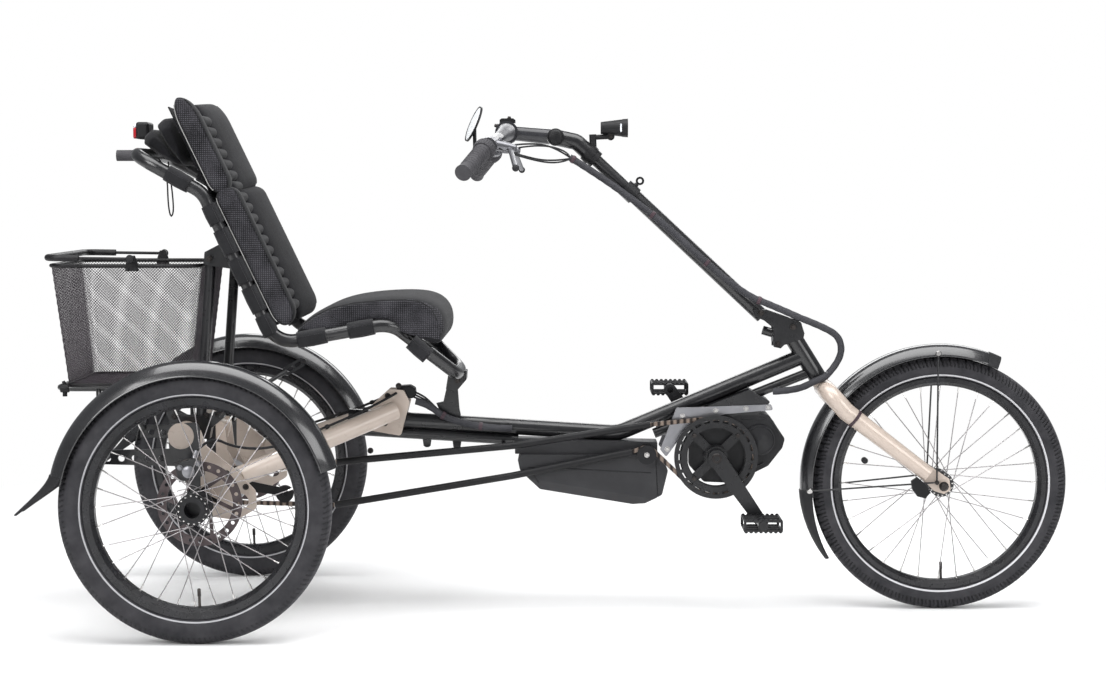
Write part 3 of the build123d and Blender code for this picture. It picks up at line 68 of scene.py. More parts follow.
FRONT_AXLE = middle("front_tyre")
RIGHT_AXLE = middle("rear_right_tyre")
LEFT_AXLE = middle("rear_left_tyre")
TYRE_R = (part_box("front_tyre")[1].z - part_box("front_tyre")[0].z) / 2


def beside(p, x, z, y=0):
    """Place measured forward and up from another place, and y from the middle, millimetres."""
    return Vector((p.x + x * MM, y * MM, p.z + z * MM))


rear = partial(beside, RIGHT_AXLE)
front = partial(beside, FRONT_AXLE)


def at_y(p, y):
    """The same place moved sideways to y millimetres."""
    return Vector((p.x, y * MM, p.z))


def round_axle(centre, radius, angle, y=0):
    """Place on a circle about a cross axle, millimetres and degrees."""
    a = radians(angle)
    return Vector((centre.x + radius * MM * cos(a), centre.y + y * MM, centre.z + radius * MM * sin(a)))


# Mesh helpers
class Build:
    """Collects simple shapes into one mesh; places are in metres, all other sizes in millimetres."""

    def __init__(self):
        self.verts = []
        self.faces = []

    def add(self, verts, faces):
        base = len(self.verts)
        self.verts += [Vector(v) for v in verts]
        self.faces += [[base + i for i in f] for f in faces]
        return self

    def skin(self, rings, closed=False, caps=True):
        """Skin through rings of places with equal counts."""
        count = len(rings)
        n = len(rings[0])
        faces = []
        for i in range(count if closed else count - 1):
            a, b = i * n, ((i + 1) % count) * n
            faces += [[a + k, a + (k + 1) % n, b + (k + 1) % n, b + k] for k in range(n)]
        if caps and not closed:
            faces += [list(range(n))[::-1], [(count - 1) * n + k for k in range(n)]]
        return self.add([p for ring in rings for p in ring], faces)

    def sweep(self, path, radii, sides=10, closed=False, caps=True, braid=False):
        """Round bar along places, radii one number or one for each place; braid winds ridges round it."""
        count = len(path)
        radii = [radii] * count if isinstance(radii, (int, float)) else radii
        normal = Y_DIR if braid else None
        rings = []
        for i, p in enumerate(path):
            before = path[i - 1] if i or closed else p
            after = path[(i + 1) % count] if i < count - 1 or closed else p
            run = (after - before).normalized()
            if normal is None:
                normal = run.orthogonal()
            normal = (normal - run * normal.dot(run)).normalized()
            side = run.cross(normal)
            ring = []
            for k in range(sides):
                a = 2 * pi * k / sides
                ridge = (1.02 if (k + i) % 8 < 4 else 0.98) if braid else 1
                ring.append(p + (normal * cos(a) + side * sin(a)) * (radii[i] * ridge * MM))
            rings.append(ring)
        return self.skin(rings, closed, caps)

    def rod(self, a, b, radius, sides=12, end_radius=None):
        return self.sweep([a, b], [radius, radius if end_radius is None else end_radius], sides)

    def lathe(self, centre, axis, profile, steps=48, closed=False):
        """Body of revolution; profile is (radius, along)."""
        axis = axis.normalized()
        x = axis.orthogonal().normalized()
        y = axis.cross(x)
        n = len(profile)
        verts = []
        faces = []
        for i in range(steps):
            a = 2 * pi * i / steps
            out = x * cos(a) + y * sin(a)
            verts += [centre + out * (r * MM) + axis * (h * MM) for r, h in profile]
            p, q = i * n, ((i + 1) % steps) * n
            for k in range(n if closed else n - 1):
                j = (k + 1) % n
                faces.append([p + k, q + k, q + j, p + j])
        return self.add(verts, faces)

    def hex_head(self, place, axis, across, height):
        """Bolt head with a washer under it and a socket in it."""
        r = across * 0.55
        self.lathe(place, axis, [(0, 0), (r * 1.35, 0), (r * 1.35, height * 0.25), (0, height * 0.25)], 18)
        self.lathe(place, axis, [(0, 0), (r, 0), (r, height * 0.8), (r * 0.85, height), (0, height)], 12)
        return self.lathe(place, axis, [(r * 0.5, height), (r * 0.5, height * 1.02), (0, height * 1.02)], 6)

    def slab(self, outline, thick, origin, x_dir=X_DIR, y_dir=Z_DIR):
        """Flat plate from an outline in its own plane."""
        half = x_dir.cross(y_dir).normalized() * (thick * MM / 2)
        flat = [origin + (x_dir * x + y_dir * y) * MM for x, y in outline]
        return self.skin([[p - half for p in flat], [p + half for p in flat]])

    def done(self, name, material, slot, body="frame", smooth=True, angle=38):
        """The collected mesh as a piece that rides on a body."""
        mesh = bpy.data.meshes.new(name)
        mesh.from_pydata([tuple(v) for v in self.verts], [], self.faces)
        skin = bmesh.new()
        skin.from_mesh(mesh)
        bmesh.ops.recalc_face_normals(skin, faces=skin.faces)
        skin.to_mesh(mesh)
        skin.free()
        piece = bpy.data.objects.new(name, mesh)
        bpy.context.scene.collection.objects.link(piece)
        mesh.materials.append(material)
        if smooth:
            mesh.polygons.foreach_set("use_smooth", [True] * len(mesh.polygons))
            mesh.set_sharp_from_angle(angle=radians(angle))
        if body:
            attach(piece, body)
        return piece


def ease(piece, width, segments):
    """Rounds the edges of a piece a little."""
    edge = piece.modifiers.new("edge", "BEVEL")
    edge.width = width * MM
    edge.segments = segments
    return edge


# Materials
def linear(r, g, b):
    """Screen colour 0 to 255 as linear light."""
    def one(c):
        c /= 255
        return c / 12.92 if c <= 0.04045 else ((c + 0.055) / 1.055) ** 2.4
    return (one(r), one(g), one(b), 1)


class Shader:
    """Small wrapper round a node tree with one main shader."""

    def __init__(self, name):
        self.material = bpy.data.materials.new(name)
        self.material.use_nodes = True
        self.tree = self.material.node_tree
        self.bsdf = self.tree.nodes["Principled BSDF"]
        self.place = self.node("ShaderNodeTexCoord").outputs["Object"]

    def feed(self, socket, value):
        """Links an output to a socket, or sets the socket to a plain value."""
        if isinstance(value, bpy.types.NodeSocket):
            self.tree.links.new(value, socket)
        else:
            socket.default_value = value

    def node(self, kind, inputs=None, **props):
        """New node with its properties and inputs set."""
        n = self.tree.nodes.new(kind)
        for key, value in props.items():
            setattr(n, key, value)
        for key, value in (inputs or {}).items():
            self.feed(n.inputs[key], value)
        return n

    def set(self, **values):
        for key, value in values.items():
            self.feed(self.bsdf.inputs[key.replace("_", " ")], value)
        return self

    def noise(self, scale, detail=4):
        inputs = {"Scale": scale, "Detail": detail, "Roughness": 0.55, "Vector": self.place}
        return self.node("ShaderNodeTexNoise", inputs).outputs["Fac"]

    def wave(self, direction, **inputs):
        values = {key.replace("_", " "): value for key, value in inputs.items()}
        n = self.node("ShaderNodeTexWave", {"Vector": self.place, **values}, bands_direction=direction)
        return n.outputs["Fac"]

    def ramp(self, value, dark, light, low=0.3, high=0.7):
        """Colour between two linear colours."""
        n = self.node("ShaderNodeValToRGB", {"Fac": value})
        for element, position, colour in zip(n.color_ramp.elements, (low, high), (dark, light)):
            element.position = position
            element.color = colour
        return n.outputs["Color"]

    def tones(self, value, dark, light, low=0.3, high=0.7):
        """Colour between two screen colours."""
        return self.ramp(value, linear(*dark), linear(*light), low, high)

    def span(self, value, low, high, a=0, b=1):
        """Value mapped from low..high to a..b."""
        inputs = {"Value": value, "From Min": low, "From Max": high, "To Min": a, "To Max": b}
        return self.node("ShaderNodeMapRange", inputs).outputs["Result"]

    def uneven(self, scale, low, high):
        """Value that drifts between two limits."""
        return self.span(self.noise(scale), 0.3, 0.7, low, high)

    def math(self, operation, *values):
        return self.node("ShaderNodeMath", dict(enumerate(values)), operation=operation).outputs["Value"]

    def mix(self, factor, a, b):
        n = self.node("ShaderNodeMix", {"Factor": factor, "A": a, "B": b}, data_type="RGBA")
        return n.outputs["Result"]

    def bump(self, height, strength, distance):
        """Relief from a height, on top of any relief set before."""
        n = self.node("ShaderNodeBump", {"Strength": strength, "Distance": distance, "Height": height})
        last = self.bsdf.inputs["Normal"]
        if last.is_linked:
            self.feed(n.inputs["Normal"], last.links[0].from_socket)
        self.feed(last, n.outputs["Normal"])

    def parts(self):
        """The place as its X, Y and Z."""
        return self.node("ShaderNodeSeparateXYZ", {"Vector": self.place}).outputs

    def radius_from(self, centre):
        """Distance from a cross axle, metres."""
        parts = self.parts()
        dx = self.math("SUBTRACT", parts["X"], centre.x)
        dz = self.math("SUBTRACT", parts["Z"], centre.z)
        square = self.math("ADD", self.math("MULTIPLY", dx, dx), self.math("MULTIPLY", dz, dz))
        return self.math("SQRT", square)


def finish(name, dark, light, rough=(0.35, 0.5), grain=900, depth=0.06, **values):
    """Painted, moulded or metal surface: two close tones, uneven gloss and a fine grain."""
    s = Shader(name)
    s.set(Base_Color=s.tones(s.noise(14), dark, light), Roughness=s.uneven(70, *rough))
    s.bump(s.noise(grain, 2), depth, 0.0002)
    return s.set(**{"Specular_IOR_Level": 0.28, **values}).material


BLACK_PAINT = finish("satin_black_paint", (20, 20, 22), (29, 29, 31), (0.26, 0.34), depth=0.02,
                     Specular_IOR_Level=0.5, Coat_Weight=0.3)
CREAM_PAINT = finish("champagne_paint", (182, 168, 157), (195, 181, 170), (0.26, 0.36), depth=0.02,
                     Coat_Weight=0.35, Metallic=0.12)
HUB_BLACK = finish("anodised_black", (22, 22, 24), (34, 34, 36), (0.25, 0.38), Metallic=0.3,
                   Specular_IOR_Level=0.6)
ALLOY = finish("brushed_alloy", (142, 142, 146), (162, 162, 166), (0.3, 0.4), depth=0.02, Metallic=1)
LEVER_ALLOY = finish("polished_alloy", (104, 104, 108), (128, 128, 132), (0.26, 0.36), depth=0.02,
                     Metallic=0.8)
STEEL = finish("bright_steel", (190, 188, 186), (214, 212, 210), (0.15, 0.3), Metallic=1)
DARK_STEEL = finish("dark_steel", (52, 50, 50), (78, 74, 72), (0.25, 0.42), Metallic=0.9)
PLASTIC = finish("moulded_black_plastic", (16, 16, 18), (26, 26, 28), (0.42, 0.58), depth=0.12)
MOTOR_CASE = finish("cast_motor_case", (22, 22, 24), (36, 36, 38), (0.3, 0.42), grain=500, depth=0.18)
BATTERY_CASE = finish("battery_plastic", (40, 40, 42), (52, 52, 54), (0.34, 0.46), grain=1200, depth=0.15)
FENDER_PLASTIC = finish("satin_fender_plastic", (26, 26, 28), (36, 36, 38), (0.2, 0.24), depth=0.01,
                        Specular_IOR_Level=0.7, Coat_Weight=0.4)
GRIP_RUBBER = finish("grip_rubber", (60, 59, 62), (78, 77, 80), (0.6, 0.75), grain=420, depth=0.3)
SOFT_RUBBER = finish("soft_black_rubber", (26, 26, 28), (40, 40, 42), (0.55, 0.7), depth=0.15)
WIRE_BLACK = finish("coated_wire", (18, 17, 19), (30, 29, 31), (0.35, 0.5))
BASKET_WIRE = finish("woven_wire", (44, 39, 44), (68, 61, 67), (0.4, 0.55), depth=0.02)
GRAPHITE = finish("graphite_alloy", (40, 40, 43), (54, 54, 58), (0.26, 0.34), depth=0.01, Coat_Weight=0.4)
SATIN_GREY = finish("satin_grey_alloy", (78, 78, 81), (98, 98, 101), (0.3, 0.38), depth=0.01,
                    Metallic=0.4)
TIE_PLASTIC = finish("plum_tie", (56, 42, 48), (74, 58, 64), (0.4, 0.55))
# Mirror glass as a near-white matt colour with no metal: a painted reflection of the white surroundings.
MIRROR_PAINTED_REFLECTION = finish("mirror_glass", (232, 235, 237), (243, 244, 246), (0.3, 0.4), depth=0)
CLEAR_LENS = finish("clear_lens", (206, 210, 216), (230, 233, 238), (0.06, 0.14), depth=0.02,
                    Coat_Weight=0.6)


def red_lens():
    s = Shader("red_lens")
    s.bump(s.noise(260, 1), 0.25, 0.0005)
    s.set(Base_Color=s.tones(s.noise(60), (150, 14, 24), (206, 36, 46)))
    return s.set(Roughness=0.12, Coat_Weight=0.8, Transmission_Weight=0.15).material


RED_LENS = red_lens()


def tyre_rubber(name, centre, line_low, line_high, line_tone):
    """Rubber with a reflective line on the side walls and road dust on the tread."""
    s = Shader(name)
    radius = s.radius_from(centre)
    rubber = s.tones(s.noise(30), (42, 42, 45), (60, 59, 62), 0.3, 0.72)
    worn = s.mix(s.span(radius, TYRE_R - 0.006, TYRE_R - 0.001), rubber, linear(74, 73, 76))
    above = s.math("GREATER_THAN", radius, line_low)
    inside = s.math("MULTIPLY", above, s.math("LESS_THAN", radius, line_high))
    s.set(Base_Color=s.mix(inside, worn, linear(line_tone, line_tone, line_tone + 3)))
    s.bump(s.noise(1500, 2), 0.12, 0.0002)
    return s.set(Roughness=s.uneven(80, 0.55, 0.75), Specular_IOR_Level=0.18).material


def split_finish(s, mask, scale, outside, inside, rough):
    """Two pairs of tones on one piece, parted by a mask, with uneven gloss."""
    tone = s.noise(scale)
    s.set(Base_Color=s.mix(mask, s.tones(tone, *outside), s.tones(tone, *inside)))
    return s.set(Roughness=s.uneven(70, *rough))


def rim_finish(name, centre, spoke_limit):
    """Black rim; the wires inside it are bright steel."""
    s = Shader(name)
    spoke = s.math("LESS_THAN", s.radius_from(centre), spoke_limit)
    black = (26, 26, 28), (40, 40, 43)
    bright = (142, 139, 140), (176, 172, 173)
    split_finish(s, spoke, 20, black, bright, (0.22, 0.36))
    return s.set(Metallic=s.span(spoke, 0, 1, 0.15, 1)).material


def two_tone_paint():
    """Cream paint on the front of the rear frame and round its cross tube, black behind it."""
    s = Shader("two_tone_paint")
    ahead = s.math("GREATER_THAN", s.parts()["X"], rear(-10, 0).x)
    tube = s.math("LESS_THAN", s.radius_from(rear(-47, 119)), 0.025)
    black = (25, 25, 27), (34, 34, 37)
    cream = (182, 168, 157), (195, 181, 170)
    split_finish(s, s.math("MAXIMUM", ahead, tube), 14, black, cream, (0.26, 0.36))
    return s.set(Coat_Weight=0.35).material


def disc_and_hub(name, axle):
    """Black hub whose brake disc, outside its flange, is bronze-dark steel."""
    s = Shader(name)
    disc = s.math("GREATER_THAN", s.radius_from(axle), 0.033)
    black = (20, 20, 22), (32, 32, 34)
    bronze = (66, 58, 59), (94, 85, 86)
    split_finish(s, disc, 40, black, bronze, (0.28, 0.42))
    return s.set(Metallic=s.span(disc, 0, 1, 0.35, 0.7)).material


def fabric(name, dark, light, weave, strength, sheen):
    """Woven cloth: two crossed sets of threads, a little fuzz and slow colour drift."""
    s = Shader(name)
    threads = [s.wave(way, Scale=weave, Distortion=1.2, Detail=1, Detail_Scale=2) for way in ("X", "Z")]
    cloth = s.math("MULTIPLY", *threads)
    tone = s.math("ADD", s.math("MULTIPLY", cloth, 0.45), s.math("MULTIPLY", s.noise(24), 0.55))
    s.set(Base_Color=s.tones(tone, dark, light, 0.2, 0.75), Roughness=s.uneven(300, 0.78, 0.95))
    s.bump(cloth, strength, 0.0006)
    s.bump(s.noise(60, 3), 0.18, 0.002)
    return s.set(Sheen_Weight=sheen, Sheen_Roughness=0.5, Specular_IOR_Level=0.12).material


def chain_steel():
    """Oiled chain: bright side plates with a dark gap at each link."""
    s = Shader("oiled_chain")
    links = s.wave("X", Scale=24.7, Distortion=0.4)
    tone = s.math("ADD", s.math("MULTIPLY", links, 0.7), s.math("MULTIPLY", s.noise(220), 0.3))
    s.set(Base_Color=s.tones(tone, (44, 39, 37), (132, 118, 108), 0.25, 0.7))
    return s.set(Roughness=s.uneven(90, 0.3, 0.5), Metallic=0.7).material


CHAIN_STEEL = chain_steel()

FABRIC = fabric("charcoal_fabric", (22, 22, 24), (40, 40, 43), 230, 0.35, 0.08)
MESH_FABRIC = fabric("ribbed_mesh_fabric", (17, 17, 19), (82, 81, 86), 80, 0.9, 0.05)
HOOK_LOOP = fabric("hook_and_loop", (26, 26, 28), (50, 50, 53), 320, 0.8, 0.15)
PIPING = finish("reflective_piping", (122, 121, 120), (152, 151, 150), (0.35, 0.5))
SLEEVE = finish("braided_sleeve", (46, 46, 50), (60, 60, 64), (0.6, 0.75), grain=700, depth=0.25)

SLOT_FINISH = {
    "black_paint": BLACK_PAINT,
    "cream_paint": CREAM_PAINT,
    "hub_black": HUB_BLACK,
    "alloy": ALLOY,
    "motor_case": MOTOR_CASE,
    "battery_case": BATTERY_CASE,
    "chain_steel": CHAIN_STEEL,
    "guide_plastic": PLASTIC,
    "fender_plastic": FENDER_PLASTIC,
    "seat_fabric": FABRIC,
    "grip_rubber": GRIP_RUBBER,
    "lever_alloy": LEVER_ALLOY,
    "red_lens": RED_LENS,
    "lamp_case": PLASTIC,
    "mirror_case": PLASTIC,
    "basket_mesh": WIRE_BLACK,
    "cable_sleeve": SLEEVE,
    "tyre_rubber": SOFT_RUBBER,
    "rim_black": HUB_BLACK,
}


def paint(node, material):
    NODES[node].data.materials.clear()
    NODES[node].data.materials.append(material)


for name, node in NODES.items():
    paint(name, SLOT_FINISH[node.data.materials[0].name.split(".")[0]])
paint("rear_frame", two_tone_paint())
paint("rear_hub_right", disc_and_hub("right_disc_and_hub", RIGHT_AXLE))
paint("rear_hub_left", disc_and_hub("left_disc_and_hub", LEFT_AXLE))

# Wheels: tread, reflective line, bright spokes, nipples, valves and hub trim
TREAD_DEPTH = 2.2
BEAD_HALF = 14.5
BEAD_FOOT = ((-6.5, 12.6), (0, 12.9))
SPOKE_STEP = 22.5
WHEELS = (
    # body, node prefix, axle, tyre width, rim lip radius, rim inner radius, line low, line high, tread blocks
    ("front_wheel", "front", FRONT_AXLE, 47, 212, 196, 215.8, 219, 96),
    ("rear_wheel_right", "rear_right", RIGHT_AXLE, 50, 206, 186, 210.2, 212.8, 150),
    ("rear_wheel_left", "rear_left", LEFT_AXLE, 50, 206, 186, 210.2, 212.8, 150),
)


def tread_cut(kind, turn, lean):
    """Depth of the tread at a place: turn counts blocks round the wheel, lean is -1 to 1 across the crown."""
    side = abs(lean)
    if kind == "front":
        slant = (turn + 0.35 * side) % 1
        block = slant < 0.24 and side > 0.16
        rib = 0.44 < side < 0.52
        sipe = 0.56 < slant < 0.66 and side > 0.62
        return 1 if block or rib or sipe else 0
    slant = (turn + 0.9 * side) % 1
    return 0.75 if slant < 0.25 and 0.3 < side < 0.95 else 0


def tyre(body, prefix, axle, width, lip, line_low, line_high, blocks):
    """Rubber carcass, oval in section, with its tread cut in, bead to bead."""
    kind = prefix.split("_")[0]
    steps = blocks * (10 if kind == "front" else 6)
    half = width / 2
    neck = sqrt(1 - (BEAD_HALF / half) ** 2)
    high = (TYRE_R / MM - lip - 0.3) / (1 + neck)
    middle_r = TYRE_R / MM - high
    low = -asin(neck)
    across = 46
    profile = [low + (pi - 2 * low) * k / across for k in range(across + 1)]
    tread_half = radians(76 if kind == "front" else 60)
    rings = []
    shaded_grooves = []
    for i in range(steps):
        turn = i * blocks / steps
        a = 2 * pi * i / steps
        ring = [(lip + r, y) for r, y in BEAD_FOOT]
        cuts = [0] * len(BEAD_FOOT)
        for p in profile:
            lean = (p - pi / 2) / tread_half
            cut = TREAD_DEPTH * tread_cut(kind, turn, lean) if abs(lean) < 1 else 0
            cuts.append(cut)
            ring.append((middle_r + (high - cut) * sin(p), (half - cut) * cos(p)))
        ring += [(lip + r, -y) for r, y in BEAD_FOOT[::-1]]
        rings.append([axle + Vector((r * cos(a), y, r * sin(a))) * MM for r, y in ring])
        # Faces inside the tread cuts are marked here to take the darker rubber: painted shade in the grooves.
        shaded_grooves += [int(cut > 0) for cut in cuts + [0] * len(BEAD_FOOT)]
    tone = 196 if kind == "front" else 168
    rubber = tyre_rubber(prefix + "_tyre_rubber", axle, line_low * MM, line_high * MM, tone)
    piece = Build().skin(rings, closed=True).done(prefix + "_tread", rubber, "tyre_rubber", body)
    # Second, darker rubber for the cut faces of the tread: painted shade in the grooves, not a different
    # rubber.
    piece.data.materials.append(SOFT_RUBBER)
    piece.data.polygons.foreach_set("material_index", shaded_grooves)
    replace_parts(piece, prefix + "_tyre")


def nipples_and_valve(body, prefix, axle, inner, crossed, flange, hub_r):
    """Nipples where the spokes meet the rim, and the valve at the foot of the wheel."""
    nipples = Build()
    for side in (-1, 1):
        for i in range(16):
            lead = 1 if i % 2 else -1
            hub_angle = (i + (0.5 if side > 0 else 0)) * SPOKE_STEP
            rim_angle = hub_angle + lead * crossed * SPOKE_STEP
            foot = round_axle(axle, hub_r, hub_angle, side * (flange + 3 * lead))
            seat = round_axle(axle, inner + 3, rim_angle, side * 2.5)
            run = (foot - seat).normalized()
            nipples.rod(seat, seat + run * 15 * MM, 1.9, 8, 1.5)
    nipples.done(prefix + "_nipples", STEEL, "alloy", body)
    seat = round_axle(axle, inner + 2, -88)
    stem = ((3.1, 0), (3.1, 4), (2.6, 4.5), (2.6, 22), (3.4, 22.5), (3.4, 35), (2.2, 37), (0, 37))
    Build().lathe(seat, axle - seat, stem, 16).done(prefix + "_valve", DARK_STEEL, "alloy", body)


for body, prefix, axle, width, lip, inner, line_low, line_high, blocks in WHEELS:
    tyre(body, prefix, axle, width, lip, line_low, line_high, blocks)
    lacing = (2, 30, 26.25) if prefix == "front" else (3, 28, 30.75)
    nipples_and_valve(body, prefix, axle, inner, *lacing)
    paint(prefix + "_rim", rim_finish(prefix + "_rim_finish", axle, (inner - 0.5) * MM))


def hub_trim(body, prefix, axle, head_r, faces):
    """Spoke heads round the flanges of a hub."""
    heads = Build()
    for flange_y, out in faces:
        for i in range(16):
            seat = round_axle(axle, head_r, i * SPOKE_STEP + 6, flange_y)
            heads.lathe(seat, Y_DIR * out, [(2.2, 0), (1.8, 1.2), (0, 1.5)], 8)
    heads.done(prefix + "_spoke_heads", STEEL, "alloy", body)


hub_trim("front_wheel", "front", FRONT_AXLE, 22, ((-32, -1), (32, 1)))
hub_trim("rear_wheel_right", "rear_right", RIGHT_AXLE, 26, ((-30, -1),))
hub_trim("rear_wheel_left", "rear_left", LEFT_AXLE, 26, ((30, 1),))


# Fenders: crowned shells with rolled edges, flared flaps, nose cap and clips
def shell(form, stations, thick):
    """Open shell from rows of places; the inner face lies thick millimetres inside."""
    rows = len(stations)
    n = len(stations[0])
    outer = [p for row in stations for p, _ in row]
    inner = [p - out * (thick * MM) for row in stations for p, out in row]
    quads = []
    for i in range(rows - 1):
        for k in range(n - 1):
            a, b = i * n + k, (i + 1) * n + k
            quads += [[a, b, b + 1, a + 1], [rows * n + a, rows * n + a + 1, rows * n + b + 1, rows * n + b]]
    rim = list(range(n)) + [i * n + n - 1 for i in range(1, rows)]
    rim += [(rows - 1) * n + k for k in range(n - 2, -1, -1)] + [i * n for i in range(rows - 2, 0, -1)]
    quads += [[a, b, rows * n + b, rows * n + a] for a, b in zip(rim, rim[1:] + rim[:1])]
    return form.add(outer + inner, quads)


def fender_row(centre, angle, edge_r, crown, half, flare=0, columns=17):
    """One row of places across a fender, with the outward direction of each."""
    a = radians(angle)
    out = Vector((cos(a), 0, sin(a)))
    row = []
    for k in range(columns):
        t = -1 + 2 * k / (columns - 1)
        r = edge_r + flare + crown * (1 - abs(t) ** 2.8)
        lean = Vector((0, t, 0)) * 0.8
        row.append((centre + out * r * MM + Vector((0, half * t * MM, 0)), (out + lean).normalized()))
    return row


def fender(name, body, centre, start, end, edge_r, crown, half, flap_end, flap_flare):
    """Shell from start to end, then a flap that thins and flares off the wheel."""
    rows = []
    for i in range(61):
        share = i / 60
        narrow = 1 - 0.12 * max(0, 1 - share * 14) ** 2
        rows.append(fender_row(centre, start + (end - start) * share, edge_r, crown, half * narrow))
    form = shell(Build(), rows, 2.4)
    for side in (0, -1):
        form.sweep([row[side][0] for row in rows], 1.9, 8)
    form.done(name, FENDER_PLASTIC, "fender_plastic", body)
    rows = []
    for i in range(25):
        share = i / 24
        angle = end - 3 + (flap_end - end + 3) * share
        rise = 1.6 + flap_flare * share ** 1.7
        taper = 1 - 0.75 * share ** 1.3
        width = half * (1.02 - 0.12 * share)
        rows.append(fender_row(centre, angle, edge_r + crown * (1 - taper), crown * taper, width, rise))
    return shell(Build(), rows, 2.6).done(name + "_flap", SOFT_RUBBER, "fender_plastic", body)


FENDERS = (
    # name, body, node, axle, start, end, edge radius, crown, half width, end of the flap, its flare
    ("rear_right_fender", "frame", None, RIGHT_AXLE, 16, 170, 247, 27, 34, 182, 58),
    ("rear_left_fender", "frame", "rear_fenders", LEFT_AXLE, 16, 170, 247, 27, 34, 182, 58),
    ("front_fender_shell", "fork", "front_fender", FRONT_AXLE, 66, 186, 257, 22, 31, 214, -6),
)
for name, body, node, *sizes in FENDERS:
    flap = fender(name, body, *sizes)
    if node:
        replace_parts(flap, node)

cap_rows = [fender_row(FRONT_AXLE, 64.5 + i, 256.4, 24.2, 32.2) for i in range(6)]
shell(Build(), cap_rows, 3).done("front_fender_cap", SOFT_RUBBER, "fender_plastic", "fork")
clips = Build()
clip = ((0, 0), (6, 0), (6, 4), (4.4, 6), (0, 6))
for angle in (92, 183):
    for side in (-1, 1):
        clips.lathe(round_axle(FRONT_AXLE, 262, angle, side * 32.5), Y_DIR * side, clip, 14)
clips.done("fender_clips", STEEL, "alloy", "fork")

# Seat: wedge pads, rolled centre strip, seat pad, piping, straps and pouch
SEAT_SHOULDER = rear(-8, 581)
SEAT_LOW = rear(130, 291)
SEAT_HUMP = rear(350, 331)
SEAT_NOSE = rear(470, 224)
SEAT_TOP = rear(-140, 654)
RAIL_Y = 190
RAIL_R = 13
BACK_UP = (SEAT_SHOULDER - SEAT_LOW).normalized()
BACK_FWD = Vector((BACK_UP.z, 0, -BACK_UP.x))
PAD_BACK = RAIL_R + 0.6
PAD_SQUARE = 0.38
PAD_LIFT = 0.42
PAD_FLAT = 0.04


def on_back(run, off, y=0):
    """Place up the backrest, forward of its rails and sideways, millimetres."""
    p = SEAT_LOW + BACK_UP * run * MM + BACK_FWD * off * MM
    return Vector((p.x, y * MM, p.z))


def round_end(distance, radius):
    """1 away from an end, falling along a quarter circle to 0 at it."""
    share = min(1, max(0, distance / radius))
    return sqrt(1 - (1 - share) ** 2)


def pad_depth(off, depth, swell):
    """How far a place on a pad lies before the rails; near the ends the pad draws in to a mid line."""
    return PAD_BACK + off * (PAD_FLAT + (1 - PAD_FLAT) * swell) + PAD_LIFT * depth * (1 - swell)


def pad_ring(run, swell, side, inner, outer, thin, thick):
    """Ring round a wedge pad at one height: back, outer panel, crowned front, inner edge."""
    ring = []
    steps = 40
    mid_y = (inner + outer) / 2
    half = (outer - inner) / 2
    for k in range(steps):
        a = 2 * pi * k / steps
        c, s = cos(a), sin(a)
        u = abs(c) ** PAD_SQUARE * (1 if c > 0 else -1)
        w = abs(s) ** PAD_SQUARE * (1 if s > 0 else -1)
        depth = thin + (thick - thin) * (u + 1) / 2
        off = depth * (w + 1) / 2
        crown = 5 * (1 - u * u) * max(0, w)
        y = mid_y + half * u * (0.9 + 0.1 * swell)
        ring.append(on_back(run, pad_depth(off + crown, depth, swell), side * y))
    return ring


BACK_PADS = (
    # name, lower end, upper end, inner edge, outer edge, thin side, thick side, rounding below, above
    ("back_pads_lower", 24, 314, 62, 197, 26, 52, 34, 26),
    ("back_pads_upper", 306, 504, 60, 197, 24, 48, 26, 52),
)
PAD_EDGES = (
    # kind, share of the pad's depth, inset, radius, material
    ("piping", 0.08, 0.2, 1, PIPING),
    ("seam", 0.9, 1.6, 1.2, SOFT_RUBBER),
)


def back_pad(name, side_name, side, low, high, inner, outer, thin, thick, below, above):
    """Wedge pad of one side, with mesh on its outer panel, piping and a seam."""
    rows = 56
    runs = [low + (high - low) * (0.5 - 0.5 * cos(pi * i / rows)) for i in range(rows + 1)]
    swells = [min(round_end(run - low, below), round_end(high - run, above)) for run in runs]
    sections = [pad_ring(run, swell, side, inner, outer, thin, thick) for run, swell in zip(runs, swells)]
    piece = Build().skin(sections).done(f"{name}_{side_name}", FABRIC, "seat_fabric", angle=75)
    piece.data.materials.append(MESH_FABRIC)
    for face in piece.data.polygons:
        if face.normal.y * side > 0.72:
            face.material_index = 1
    for kind, place, inset, radius, material in PAD_EDGES:
        edge = []
        for run, swell in zip(runs[8:-8], swells[8:-8]):
            drawn = outer - inset - (outer - inner) * 0.05 * (1 - swell)
            edge.append(on_back(run, pad_depth(thick * place, thick, swell), side * drawn))
        Build().sweep(edge, radius, 8).done(f"{name}_{side_name}_{kind}", material, "seat_fabric")
    return piece


for name, *sizes in BACK_PADS:
    pads = [back_pad(name, side_name, side, *sizes) for side_name, side in (("right", -1), ("left", 1))]
    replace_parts(pads[0], name)

ROLLS = 18
ROLL_LOW = 44
ROLL_HIGH = 472
rolls = Build()
pitch = (ROLL_HIGH - ROLL_LOW) / ROLLS
for i in range(ROLLS):
    centre_run = ROLL_LOW + pitch * (i + 0.5)
    sections = []
    for k in range(25):
        t = -1 + 2 * k / 24
        fat = (1 - abs(t) ** 5) ** 0.5 if abs(t) < 1 else 0
        ring = []
        for j in range(20):
            a = 2 * pi * j / 20
            run = centre_run + pitch * 0.5 * cos(a) * (0.4 + 0.6 * fat)
            depth = 17 + 15.5 * sin(a) * (0.3 + 0.7 * fat)
            ring.append(on_back(run, PAD_BACK + depth, 61 * t))
        sections.append(ring)
    rolls.skin(sections)
centre = rolls.done("back_pad_rolls", FABRIC, "seat_fabric", angle=70)
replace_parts(centre, "back_pad_centre")

